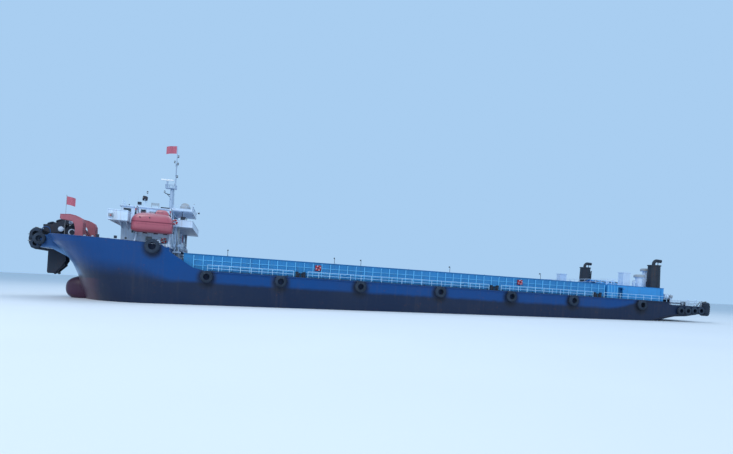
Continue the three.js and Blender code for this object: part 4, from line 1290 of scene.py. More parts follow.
class BARGE_OT_mast(bpy.types.Operator):
    """Mast, radar, ensign and everything on the wheelhouse roof"""
    bl_idname = "barge.mast"
    bl_label = "Mast and roof"

    def execute(self, context):
        self.mast()
        self.lights()
        self.radar()
        self.roof()
        self.flags()
        return {"FINISHED"}

    def mast(self):
        bm = bmesh.new()
        foot, table = ROOF_TOP + 0.0005, 1.826
        # Lower mast, radar pedestal and upper pole: aft, steps and profile
        for aft, steps, profile in (
                (1.27, 28, [(0, foot), (0.052, foot), (0.052, 1.482), (0.036, 1.49), (0.033, 1.5),
                            (0.0255, table), (0, table)]),
                (1.195, 24, [(0, 1.83), (0.022, 1.83), (0.014, 1.85), (0.0125, 1.92), (0.017, 1.924),
                             (0.017, 1.931), (0, 1.931)]),
                (POLE, 20, [(0, 1.83), (0.015, 1.83), (0.01, 1.85), (0.0085, 2.1), (0.005, 2.38),
                            (0.0035, 2.47), (0, 2.476)])):
            lathe(bm, profile, at(aft, 0, 0), steps=steps)
        block(bm, (1.173, 1.332), (-0.06, 0.06), (table, table + 0.01))
        for up, reach in ((2.185, 0.13), (2.03, 0.07)):
            rod(bm, at(POLE, -reach, up), at(POLE, reach, up), 0.004, sides=10)
            rods(bm, [((POLE, reach * 0.7, up), (POLE, 0.005, up + 0.05), 0.0018)], 6)
        corners = ((1.177, -0.056), (1.328, -0.056), (1.328, 0.056), (1.177, 0.056))
        rail_run(bm, [at(x, y, 1.834) for x, y in corners], 0.045, (1.0,), closed=True, spacing=0.06)
        for up in [1.52 + 0.019 * i for i in range(16)]:
            rods(bm, [((1.297, 0.014, up), (1.309, 0.014, up), 0.0015)], 5)
            rod(bm, at(1.309, -0.014, up), at(1.309, 0.014, up), 0.0015, sides=5)
        for up in (1.66, 1.81):
            for side in BOTH:
                bracket = [(1.25, 0.02, up), (1.25, 0.05, up + 0.016), (1.25, 0.02, up + 0.016)]
                slab(bm, over(bracket, side), X * 0.004)
        piece(bm, "mast_round", "mast", replaces="signal_mast")

    def lights(self):
        """Navigation lamps with their caps and guards, and the black arm before the mast."""
        dark, lens = drafts(2)
        for lamp in ((1.166, 0, 1.757), (1.33, 0, 2.0), (1.33, 0, 2.19), (1.295, 0.125, 2.19),
                     (1.295, -0.125, 2.19), (1.33, 0, 2.3), (1.3, 0.06, 1.885), (0.962, -0.25, 1.69)):
            foot = at(*lamp)
            for low, high, radius in ((0, 0.006, 0.011), (0.024, 0.03, 0.011), (0.03, 0.034, 0.006)):
                rod(dark, foot + Z * low, foot + Z * high, radius, sides=16)
            rod(lens, foot + Z * 0.006, foot + Z * 0.024, 0.0092, sides=16)
            for bar in arc(foot, 45, 315, X * 0.0105, Y * 0.0105, 3):
                rod(dark, bar, bar + Z * 0.026, 0.0008, sides=5)
        rod(dark, at(1.245, 0, 1.736), at(1.172, 0, 1.752), 0.007, 0.0045, 10)
        rod(dark, at(1.245, 0, 1.7), at(1.2, 0, 1.744), 0.004)
        for up in (1.998, 2.188, 2.298):
            rod(dark, at(POLE, 0, up), at(1.33, 0, up), 0.003)
        piece(dark, "light_cases", "black")
        piece(lens, "light_lenses", "lamp", smooth=50)

    def radar(self):
        bm = bmesh.new()
        pivot = at(1.195, 0, 1.932)
        lathe(bm, [(0, 0.0005), (0.013, 0.0005), (0.014, 0.004), (0.012, 0.012), (0, 0.014)], pivot, steps=24)
        middle = 0.021
        profile = [(0.011, -0.009), (0.011, 0.001), (0.006, 0.009)]
        profile += [(-y, z) for y, z in reversed(profile)]
        reaches = ((-0.092, 0.55), (-0.088, 0.85), (-0.08, 1), (0.08, 1), (0.088, 0.85), (0.092, 0.55))
        skin(bm, [[pivot + Vector((reach, y * share, middle + z * share)) for y, z in profile]
                  for reach, share in reaches])
        piece(bm, "radar_bar", "shell_white", "radar_scanner", bevel=(0.002, 2), replaces="radar_scanner")

    def roof(self):
        white, dark, grey, lens = drafts(4)
        self.searchlight(white, dark, lens)
        self.ventilation(white, dark, grey)
        self.aft_gallery(white, dark, lens)
        top = ROOF_TOP
        for x, y in ((0.75, 0.36), (0.75, -0.38)):
            rod(white, at(x, y, top), at(x, y, 1.72), 0.0028, 0.0012)
            rod(dark, at(x, y, top), at(x, y, top + 0.03), 0.006, sides=10)
        lathe(white, [(0, 0), (0.03, 0), (0.03, 0.012), (0.022, 0.02), (0.01, 0.05), (0.026, 0.062),
                      (0.028, 0.08), (0, 0.094)], at(1.05, 0.25, top), steps=24)
        for side in BOTH:
            horn = [(0, 0), (0.006, 0), (0.006, 0.05), (0.009, 0.075), (0.02, 0.09), (0.018, 0.09), (0, 0.07)]
            lathe(dark, horn, at(0.79, side * 0.12, top + 0.03), -X, 20)
        rods(dark, [((0.76, 0.12, top), (0.76, 0.12, top + 0.028), 0.004)])
        piece(white, "roof_fittings", "white")
        piece(dark, "roof_dark_fittings", "black")
        piece(grey, "roof_dome_and_grille", "grey")
        piece(lens, "searchlight_lenses", "lamp", smooth=50)

    def searchlight(self, white, dark, lens):
        """A searchlight in its yoke, with a camera case and a lamp post beside it."""
        y, axle = -0.3, 1.61
        block(dark, (0.848, 0.896), (y - 0.025, y + 0.025), (1.515, 1.552))
        for aft, top in ((0.872, 1.515), (0.945, 1.565)):
            rod(white, at(aft, y, ROOF_TOP), at(aft, y, top), 0.006, sides=12)
        arm, lamp_foot, lamp = over(((0.945, y, 1.56), (0.962, -0.25, 1.56), (0.962, -0.25, 1.69)))
        for start, end in ((arm, lamp_foot), (lamp_foot, lamp)):
            rod(white, start, end, 0.003)
        tube(white, arc(at(0.945, y, axle), 200, 340, Y * 0.045, Z * 0.045, 8), 0.003, 8)
        lathe(dark, [(0, -0.03), (0.026, -0.03), (0.034, -0.01), (0.036, 0.03), (0.032, 0.032), (0, 0.026)],
              at(0.945, y, axle), (-1, 0, 0.1), 28)
        rod(lens, at(0.915, y, axle + 0.003), at(0.911, y, axle + 0.0035), 0.031, sides=24)

    def ventilation(self, white, dark, grey):
        """Grille, dark fairings, satellite dome, locker and a hatch frame."""
        top = ROOF_TOP
        for up in [1.522 + 0.0075 * i for i in range(5)]:
            block(grey, (1.03, 1.137), (-0.3, -0.292), (up, up + 0.004))
        for x in (1.035, 1.132):
            block(grey, (x - 0.003, x + 0.003), (-0.302, -0.29), (top, 1.558))
        blocks(dark, [((1.18, 1.31), (0.478, 0.486), (top + 0.001, top + 0.016))])
        dome = [(0, 0), (0.07, 0), (0.077, 0.006), (0.077, 0.045), (0.074, 0.072), (0.064, 0.1),
                (0.045, 0.122), (0.019, 0.134), (0, 0.136)]
        lathe(grey, dome, at(1.486, -0.2, top + 0.001), steps=36)
        ring(white, at(1.486, -0.2, top + 0.045), Z, 0.077, 0.0022, 36, 8)
        block(white, (0.9, 1.0), (0.06, 0.2), (top, top + 0.035))
        rim(white, "y", -0.36, (1.36, 1.42), (top + 0.01, top + 0.04), 0.003, 0.002)

    def aft_gallery(self, white, dark, lens):
        """Stern light on its post, a loudspeaker and the two work lamps under the roof."""
        for start, end, radius in (((1.62, -0.4, 1.458), (1.62, -0.4, 1.572), 0.0035),
                                   ((1.61, -0.45, 1.47), (1.69, -0.45, 1.46), 0.003)):
            rod(white, at(*start), at(*end), radius)
        ball(lens, at(1.62, -0.4, 1.578), 0.008, 12)
        rod(dark, at(1.684, -0.45, 1.445), at(1.706, -0.45, 1.451), 0.009, 0.013, 14)
        for side in BOTH:
            lathe(dark, [(0, 0), (0.02, 0), (0.028, 0.01), (0.034, 0.06), (0.03, 0.062), (0, 0.056)],
                  at(1.455, side * 0.44, 1.36), (1, side * 0.15, -0.3), 24)
        rods(dark, [((1.47, 0.44, 1.36), (1.47, 0.44, 1.452), 0.005)], 10)
        rods(lens, [((1.5, 0.447, 1.346), (1.512, 0.449, 1.343), 0.029)], 20)

    def flags(self):
        length, height = sizes().flag_length, sizes().flag_height
        ensign = self.bunting("ensign_cloth", at(1.3, 0, 2.411), -1, length, height, replaces="ensign")
        bm = bmesh.new()
        foot = at(-0.084, -0.27, FORECASTLE)
        rod(bm, foot, at(-0.084, -0.27, 1.556), 0.0036, 0.0026, 10)
        rod(bm, foot, foot + Z * 0.015, 0.009, sides=14)
        ball(bm, at(-0.084, -0.27, 1.558), 0.006, 12)
        piece(bm, "jack_staff", "grey", smooth=50)
        jack = self.bunting("jack_cloth", at(-0.0805, -0.27, 1.485), 1, 0.12, 0.115)

    def bunting(self, name, hoist, way, length, height, replaces=None):
        """A flag in a light wind: its wave keeps the cloth's length, and the loose end sags a little."""
        across, up = 56, 32
        bm = bmesh.new()
        grid = []
        spot = Vector((0, 0))
        for i in range(across + 1):
            share = i / across
            slope = 0.62 * min(1, share * 3) * math.sin(share * 9.2 + 0.4)
            column = []
            for j in range(up + 1):
                lift = j / up - 0.5
                twist = 0.006 * share * lift * math.sin(share * 7)
                drop = 0.022 * share ** 1.6
                column.append(bm.verts.new(hoist + Vector((
                    way * spot.x, spot.y * 0.5 + twist, height * lift - drop))))
            grid.append(column)
            spot += Vector((math.cos(slope), math.sin(slope))) * length / across
        for first, second in zip(grid, grid[1:]):
            for j in range(up):
                bm.faces.new((first[j], second[j], second[j + 1], first[j + 1]))
        layer = bm.loops.layers.uv.new("weave")
        for face in bm.faces:
            for loop in face.loops:
                offset = loop.vert.co - hoist
                loop[layer].uv = (way * offset.x / height, offset.z / height + 0.5)
        return piece(bm, name, "flag", smooth=80, replaces=replaces)


# Sections of a lifeboat: place along the ship, keel, top and half breadth
BOAT_SECTIONS = (
    (0.882, 1.122, 1.222, 0.010), (0.886, 1.108, 1.240, 0.036), (0.895, 1.098, 1.262, 0.056),
    (0.912, 1.091, 1.287, 0.074), (0.938, 1.087, 1.309, 0.089), (0.968, 1.084, 1.324, 0.099),
    (1.010, 1.082, 1.333, 0.106), (1.070, 1.081, 1.337, 0.1095), (1.150, 1.0805, 1.338, 0.110),
    (1.240, 1.080, 1.338, 0.110), (1.320, 1.080, 1.335, 0.109), (1.355, 1.081, 1.322, 0.106),
    (1.380, 1.083, 1.296, 0.102), (1.394, 1.087, 1.262, 0.098), (1.4, 1.092, 1.240, 0.095),
)
BOAT_MIDDLE = 0.965
GUNWALE = 1.218
DAVIT_ARMS = (0.93, 1.36)


class BARGE_OT_lifeboats(bpy.types.Operator):
    """Enclosed lifeboats with their fittings, and the davits' gear"""
    bl_idname = "barge.lifeboats"
    bl_label = "Lifeboats and davits"

    def execute(self, context):
        for word, side in SIDES.items():
            self.boat(side * BOAT_MIDDLE, word)
            self.trim(side * BOAT_MIDDLE, word)
            self.davit(side, word)
        return {"FINISHED"}

    def section(self, row, middle, steps=32):
        """A rounded section of the hull and its canopy, which meet at the gunwale."""
        aft, keel, top, half = row
        waist = min(GUNWALE, top - 0.001)
        points = []
        for i in range(steps):
            angle = 2 * math.pi * (i + 0.5) / steps
            c, s = math.cos(angle), math.sin(angle)
            reach, power, share = (top - waist, 0.62, 0.93) if s > 0 else (waist - keel, 0.78, 1.0)
            across = half * share * math.copysign(abs(c) ** 0.66, c)
            points.append(at(aft, middle + across, waist + math.copysign(abs(s) ** power, s) * reach))
        return points

    def boat(self, middle, word):
        bm = bmesh.new()
        skin(bm, [self.section(row, middle) for row in BOAT_SECTIONS])
        tower, corner = [], 0.018
        # Steering tower: height, ends and half breadth
        for up, fore, aft, half in ((1.3, 1.17, 1.356, 0.068), (1.345, 1.182, 1.346, 0.066),
                                    (1.374, 1.196, 1.326, 0.059), (1.3875, 1.214, 1.306, 0.046)):
            points = []
            fore, aft, half = fore + corner, aft - corner, half - corner
            for i, (x, y) in enumerate(((aft, half), (fore, half), (fore, -half), (aft, -half))):
                points += arc(at(x, middle + y, up), 90 * i, 90 * i + 90, X * corner, Y * corner, 4)
            tower.append(points)
        skin(bm, tower)
        body = f"lifeboat_{word}"
        piece(bm, f"lifeboat_shell_{word}", "boat", body, smooth=45, replaces=body)

    def trim(self, middle, word):
        lines, dark, pane, band = drafts(4)
        belt = []
        for way in (1, -1):
            run = [at(row[0], middle + way * (row[3] + 0.001), GUNWALE - 0.004) for row in BOAT_SECTIONS[2:]]
            belt += run[::way]
        tube(band, belt, 0.0045, 8, closed=True)
        rod(band, at(0.94, middle, 1.086), at(1.37, middle, 1.082), 0.006, sides=10)
        breadths = [(row[0], row[3]) for row in BOAT_SECTIONS]
        for way in BOTH:
            for aft in [0.97 + 0.058 * i for i in range(7)]:
                a, b = (at(x, middle + way * (between(breadths, x)[0] * 0.998 + 0.0006), 1.2)
                        for x in (aft, aft + 0.05))
                tube(lines, arc((a + b) / 2, 180, 360, (b - a) / 2, Z * 0.02, 8), 0.0012, 5)
            for aft in (1.2, 1.245):
                block(pane, (aft, aft + 0.036), (middle + way * 0.058, middle + way * 0.0655), (1.328, 1.352))
            for aft in (1.0, 1.12):
                ring(lines, at(aft, middle + way * 0.101, 1.268), (0, 1, 0.35 * way), 0.009, 0.0016, 18, 6)
                start, end = at(aft, middle + way * 0.098, 1.267), at(aft, middle + way * 0.102, 1.268)
                rod(pane, start, end, 0.0085, sides=18)
            hand_rail = (
                (0.972, 0.052, 1.315), (0.985, 0.052, 1.336), (1.15, 0.055, 1.345), (1.16, 0.055, 1.325))
            tube(lines, [at(x, middle + way * y, z) for x, y, z in hand_rail], 0.0022, 6)
        for aft in (1.17, 1.338):
            block(pane, (aft, aft + 0.0085), about(middle, 0.045), (1.326, 1.348))
        rim(lines, "x", 1.4, about(middle, 0.035), (1.15, 1.24), 0.003, 0.002)
        block(dark, (1.401, 1.406), about(middle, 0.012), (1.185, 1.195))
        rod(dark, at(1.38, middle, 1.085), at(1.415, middle, 1.1), 0.004)
        ring(dark, at(1.418, middle, 1.1), X, 0.018, 0.0025, 18, 6)
        for aft in DAVIT_ARMS:
            rod(dark, at(aft, middle, 1.3), at(aft, middle, 1.3885), 0.0045, sides=10)
            block(dark, about(aft, 0.012), about(middle, 0.009), (1.296, 1.33))
            block(lines, about(aft, 0.009), about(middle, 0.006), (1.362, 1.3865))
        body = f"lifeboat_{word}"
        piece(lines, f"lifeboat_lines_{word}", "orange", body, smooth=50)
        piece(dark, f"lifeboat_fenders_{word}", "rubber", body, smooth=50)
        piece(pane, f"lifeboat_panes_{word}", "glass", body, bevel=(0.001, 1))
        piece(band, f"lifeboat_band_{word}", "board", body, smooth=50)

    def davit(self, side, word):
        metal, wire, winch, drum = drafts(4)
        for aft in DAVIT_ARMS:
            for y, up, radius in ((0.965, 1.407, 0.016), (0.845, 1.4, 0.016), (0.83, 1.07, 0.012)):
                for near, far in ((-0.01, -0.0145), (0.01, 0.0145)):
                    rods(metal, [((aft + near, y, up), (aft + far, y, up), radius)], 20, (side,))
            fall = aft + 0.013
            rods(wire, [((fall, 0.965, 1.4215), (fall, 0.845, 1.4165), 0.0016),
                        ((fall, 0.8285, 1.4), (fall, 0.818, 1.07), 0.0016)], 6, (side,))
            for up in (1.12, 1.2, 1.28, 1.36):
                blocks(metal, [(about(aft, 0.0115), (0.813, 0.847), (up, up + 0.006))], (side,))
        blocks(winch, [((1.09, 1.2), (0.826, 0.9), (FORECASTLE + 0.001, 0.914)),
                       ((1.15, 1.195), (0.832, 0.89), (0.914, 0.962))], (side,))
        y, up = 0.862, 0.944
        rods(drum, [((1.095, y, up), (1.15, y, up), 0.018), ((1.094, y, up), (1.098, y, up), 0.027),
                    ((1.144, y, up), (1.148, y, up), 0.027)], 24, (side,))
        body = f"davit_{word}"
        piece(metal, f"davit_sheaves_{word}", "grey", body, bevel=(0.001, 1))
        piece(wire, f"davit_wires_{word}", "wire", body)
        piece(winch, f"davit_winch_{word}", "grey", bevel=(0.004, 2))
        piece(drum, f"davit_drum_{word}", "black")


def bolts(bm, centre, count, reach, run, radius=0.003):
    """Bolt heads in a ring about an axis that lies across the ship."""
    for i in range(count):
        angle = 2 * math.pi * i / count
        foot = centre + Vector((math.cos(angle), 0, math.sin(angle))) * reach
        rod(bm, foot, foot + Y * run, radius, sides=6)


def both_ends(half):
    """A profile of [radius, height] points from its upper end to the middle, and its mirror image."""
    return [(r, -z) for r, z in half] + [(r, z) for r, z in reversed(half)]


def wound(bm, centre, span, radius, wire):
    """Rope wound on a drum that lies across the ship, turn by turn, with a second layer half way."""
    for layer, share in ((0, 1.0), (1, 0.6)):
        count = int((span[1] - span[0]) * share / (2 * wire))
        for i in range(count):
            place = centre + Y * (span[0] + wire + 2 * wire * i + wire * layer)
            ring(bm, place, Y, radius + wire * (0.85 + 1.7 * layer), wire, 28, 6)


def chain_links(bm, points, link, wire):
    """A chain of long links, each turned a quarter from the last, along a line of places."""
    spans = list(zip(points, points[1:]))
    total = sum((b - a).length for a, b in spans)
    count = max(1, round(total / (link * 0.72)))
    for i in range(count):
        rest = total * (i + 0.5) / count
        for a, b in spans:
            if rest <= (b - a).length + 1e-9:
                break
            rest -= (b - a).length
        way = (b - a).normalized()
        side = way.cross(Y) if i % 2 else way.cross(way.cross(Y))
        spot = a.lerp(b, rest / (b - a).length)
        oval = arc(spot, 0, 330, way * link / 2, side.normalized() * link * 0.32, 11)
        tube(bm, oval, wire, 6, closed=True)


def bitts(bm, place, profile, spread, plate):
    """Two turned posts on a plate, which is given by half its length, half its width and its height."""
    for shift in (-spread, spread):
        lathe(bm, profile, place + X * shift, steps=20)
    half_long, half_wide, high = plate
    cuboid(bm, place - Vector((half_long, half_wide, 0)), place + Vector((half_long, half_wide, high)))


def gooseneck(bm, foot, height, radius):
    """A tank vent: a pipe with its open end turned down."""
    bend = 2.2 * radius
    hook = arc(foot + Vector((bend, 0, height - radius * 3)), 180, 0, X * bend, Z * bend, 8)
    tube(bm, [foot, *hook, hook[-1] - Z * radius * 1.5], radius, 10)
    rod(bm, foot, foot + Z * radius * 0.6, radius * 1.8, sides=14)


class BARGE_OT_bow_gear(bpy.types.Operator):
    """Windlass, fairlead, anchor, guards and bow fender"""
    bl_idname = "barge.bow_gear"
    bl_label = "Bow gear"

    # Axes across the ship: aft and up
    roller = (-0.13, 1.105)
    drum = (0.015, 1.045)

    def execute(self, context):
        self.guards()
        self.fairlead()
        self.windlass()
        self.motors()
        self.fender()
        self.anchor()
        self.small_gear()
        return {"FINISHED"}

    def guards(self):
        """Turned edges, ribs and stays of the two guards over the winch."""
        bm = bmesh.new()
        outline = [(-0.102, 1.211), (-0.102, 1.273), (0.021, 1.282), (0.095, 1.268), (0.159, 1.234),
                   (0.184, 1.182), (0.192, 0.902)]
        for side in BOTH:
            for y in (0.29, 0.45):
                tube(bm, [at(x, side * y, z) for x, z in outline], 0.0042, 8)
        for y in (0.33, 0.37, 0.41):
            rods(bm, [((x0, y, z0), (x1, y, z1), 0.003)
                      for (x0, z0), (x1, z1) in zip(outline[1:], outline[2:])], 6)
        for aft, up in ((0.19, 0.98), (0.19 - 0.01 / 3, 1.08), (0.184, 1.16)):
            rods(bm, [((aft, 0.292, up), (aft, 0.448, up), 0.003)], 6)
        for y in (0.31, 0.43):
            rods(bm, [((0.32, y, FORECASTLE), (0.19, y, 1.09), 0.004)])
            blocks(bm, [((0.305, 0.335), about(y, 0.012), (FORECASTLE, FORECASTLE + 0.004))])
        piece(bm, "guard_edges", "orange")

    def fairlead(self):
        bm, cheeks = drafts(2)
        aft, up = self.roller
        lathe(bm, both_ends([(0, 0.118), (0.073, 0.118), (0.074, 0.112), (0.07, 0.104), (0.054, 0.096),
                             (0.052, 0.09)]), at(aft, 0, up), Y, 40)
        for i in range(-2, 3):
            ring(bm, at(aft, 0.035 * i, up), Y, 0.052, 0.003, 32, 6)
        piece(bm, "fairlead_roller_turned", "steel", "fairlead_roller", smooth=40, replaces="fairlead_roller")
        for y in (0.131, 0.151):
            rods(cheeks, [((aft, y, up), (aft, y + 0.006, up), 0.03)], 24)
            for side in BOTH:
                tube(cheeks, arc(at(aft, side * y, 1.13), 0, 180, X * 0.066, Z * 0.068, 12), 0.004, 8)
        for x in (-0.19, -0.07):
            blocks(cheeks, [(about(x, 0.004), (0.15, 0.172), (FORECASTLE + 0.001, 1.06))])
        for side in BOTH:
            bolts(cheeks, at(aft, side * 0.157, up), 6, 0.021, side * 0.003)
        piece(cheeks, "fairlead_cheek_trim", "black")

    def windlass(self):
        bm, wire, trim = drafts(3)
        aft, up = self.drum
        centre = at(aft, 0, up)
        lathe(bm, both_ends([(0, 0.24), (0.104, 0.24), (0.104, 0.226), (0.062, 0.222), (0.062, 0.06),
                             (0.096, 0.056), (0.096, 0.044), (0.055, 0.04), (0.048, 0.012)]), centre, Y, 40)
        for side in BOTH:
            bolts(bm, centre + Y * side * 0.24, 16, 0.085, side * 0.004, 0.004)
            wound(wire, centre, sorted((side * 0.218, side * 0.064)), 0.062, 0.0062)
        for way in arc((0, 0, 0), 0, 300, X, Z, 5):
            rod(bm, centre + way * 0.046, centre + way * 0.063, 0.012, 0.008, 8)
        body = "windlass_drum"
        piece(bm, "windlass_drum_turned", "black", body, smooth=40, replaces=body)
        piece(wire, "windlass_wire", "wire", body, smooth=60)
        base = FORECASTLE + 0.001
        rods(trim, [((aft, y, up), (aft, y + 0.006, up), 0.034) for y in (0.255, 0.284)], 24)
        blocks(trim, [((-0.05, 0.08), (0.258, 0.286), (base, FORECASTLE + 0.012))])
        for x in (-0.04, 0.07):
            rods(trim, [((x, 0.272, FORECASTLE), (x, 0.272, FORECASTLE + 0.018), 0.005)], 6)
        block(trim, (-0.02, 0.05), (-0.06, 0.06), (base, FORECASTLE + 0.02))
        piece(trim, "windlass_frame_trim", "black")

    def motors(self):
        bm = bmesh.new()
        # aft, up, radius, inner and outer end
        for aft, up, radius, start, end in (
                (-0.02, 1.182, 0.022, 0.2, 0.262), (-0.14, 1.083, 0.036, 0.2, 0.248),
                (*self.drum, 0.05, 0.2825, 0.2865)):
            profile = [(0, start), (radius, start), (radius, end - 0.003), (radius * 0.9, end), (0, end)]
            for side in BOTH:
                lathe(bm, profile, at(aft, 0, up), Y * side, 28)
                bolts(bm, at(aft, side * end, up), 8, radius * 0.72, side * 0.003)
        piece(bm, "windlass_motors", "white", smooth=40)

    def fender(self):
        """Bowed uprights of rubber with hung tyres at their sides, and the chains that hold them."""
        bm, steel = drafts(2)
        bow = [(-0.425, 0.808), (-0.468, 0.822), (-0.49, 0.87), (-0.496, 0.93), (-0.484, 0.99),
               (-0.455, 1.04), (-0.425, 1.062)]
        block(bm, (-0.45, -0.407), (-0.29, 0.29), (0.8, 1.07))
        for i in range(10):
            tube(bm, [at(x, -0.27 + 0.06 * i, z) for x, z in bow], 0.031, 16)
        for side in BOTH:
            for x, y, up, outer in (
                    (-0.42, 0.325, 0.985, 0.08), (-0.415, 0.328, 0.86, 0.072), (-0.368, 0.358, 0.925, 0.08)):
                tyre(bm, at(x, side * y, up), outer, 0.024)
        piece(bm, "bow_fender_rubber", "rubber", smooth=40, replaces="bow_fender")
        for y in (-0.21, 0.21):
            line = over([(-0.41, y, 1.07), (-0.455, y, 1.078), (-0.5, y, 1.055), (-0.53, y, 1.0)])
            chain_links(steel, line, 0.03, 0.0048)
        for up in (0.89, 0.98):
            half = [(-0.41, 0.304, up), (-0.5, 0.306, up), (-0.531, 0.28, up)]
            tube(steel, over(half, -1) + over(half)[::-1], 0.0042, 8)
        piece(steel, "bow_fender_chains", "steel")

    def anchor(self):
        bm, links = drafts(2)
        shank = -0.16
        rod(bm, at(-0.235, -0.04, 0.52), at(-0.235, 0.04, 0.52), 0.03, sides=16)
        tube(bm, over([(shank, 0, 0.86), (shank, 0, 0.6)]), 0.017, 12)
        ring(bm, at(shank, 0, 0.872), X, 0.02, 0.006, 20, 8)
        fluke = ((-0.318, 0.475), (-0.22, 0.475), (-0.14, 0.555), (-0.088, 0.65), (-0.094, 0.72),
                 (-0.17, 0.79), (-0.318, 0.806))
        for side in BOTH:
            rod(bm, at(-0.215, side * 0.105, 0.47), at(-0.215, side * 0.02, 0.49), 0.02, 0.026, 16)
            slab(bm, [at(x, side * 0.1, z) for x, z in fluke], Y * side * 0.016)
        piece(bm, "anchor_shank_trim", "black", smooth=50)
        top = (self.roller[0], 0, 1.16)
        for run in ([top, (-0.205, 0, 1.13), (-0.215, 0, 1.07), (-0.2, 0, 1.0), (-0.17, 0, 0.885)],
                    [top, (-0.05, 0, 1.12), (0.0, 0, 1.1)]):
            chain_links(links, over(run), 0.036, 0.0055)
        piece(links, "anchor_chain", "steel", smooth=60)

    def small_gear(self):
        blue, dark, white, tread = drafts(4)
        base = FORECASTLE
        cheek = ((-0.37, 1.055), (-0.377, 1.135), (-0.262, 1.15), (-0.112, 1.222), (0.015, 1.19),
                 (0.015, 1.165), (-0.1, 1.162), (-0.108, 1.035), (-0.3, 1.03))
        post = [(0, 0), (0.024, 0), (0.024, 0.005), (0.014, 0.009), (0.013, 0.09), (0.018, 0.098),
                (0.018, 0.108), (0, 0.112)]
        pair = [(0, 0), (0.018, 0), (0.018, 0.06), (0.024, 0.064), (0.024, 0.072), (0, 0.076)]
        for side in BOTH:
            arch = arc(at(-0.338, side * 0.2, 1.045), 180, 0, X * 0.056, Z * 0.06, 12)
            tube(blue, arch + [at(-0.282, side * 0.2, 0.985)], 0.006, 8)
            slab(dark, [at(x, side * 0.186, z) for x, z in cheek], Y * side * 0.014)
            for x, y in ((-0.08, 0.24), (-0.03, 0.24), (0.24, 0.55), (0.34, 0.55)):
                lathe(white, post, at(x, side * y, base), steps=20)
            for y in (0.4, 0.75):
                bitts(dark, at(0.52 + 0.12 * y, side * y, base), pair, 0.035, (0.065, 0.028, 0.006))
        rods(blue, [((-0.394, 0.2, 0.985), (-0.394, 0.2, 1.045), 0.006)])
        rods(dark, [((-0.3, 0.18, 0.985), (-0.3, 0.18, 1.14), 0.006),
                    ((-0.02, 0.18, base), (-0.02, 0.18, 1.2), 0.007)])
        for aft in (0.512, 0.725):
            y = min(bow_outline(0.93, 1.2, 40), key=lambda place: abs(place[0] - aft))[1]
            blocks(dark, [(about(aft, 0.017), (y - 0.02, y + 0.004), (0.965, 1.0))])
        for x, up in ((-0.36, 1.12), (-0.26, 1.16), (-0.15, 1.205), (-0.02, 1.2)):
            rod(dark, at(x, -0.18, up), at(x, 0.18, up), 0.007, sides=10)
        for x, up in ((-0.31, 1.14), (-0.2, 1.184)):
            for y in (-0.1, 0.0, 0.1):
                ring(tread, at(x, y, up + 0.024), (-0.4, 0, 1), 0.034, 0.014, 20, 8)
        hawse = [(0, 0), (0.05, 0), (0.05, 0.018), (0.03, 0.024), (0, 0.026)]
        lathe(dark, hawse, at(0.45, 0, base), steps=24)
        for y in (0.22, -0.22):
            lathe(white, [(0, 0), (0.035, 0), (0.035, 0.03), (0.03, 0.036), (0.03, 0.075), (0.045, 0.08),
                          (0.045, 0.092), (0, 0.1)], at(0.42, y, base), steps=24)
        block(white, (0.55, 0.64), (-0.06, 0.06), (base, base + 0.03))
        block(white, (0.545, 0.645), (-0.065, 0.065), (base + 0.03, base + 0.036))
        piece(blue, "bow_pipe_arches", "hull")
        piece(dark, "bow_dark_gear", "black")
        piece(white, "bow_posts", "white")
        piece(tread, "bow_worn_tyres", "rubber", smooth=50)


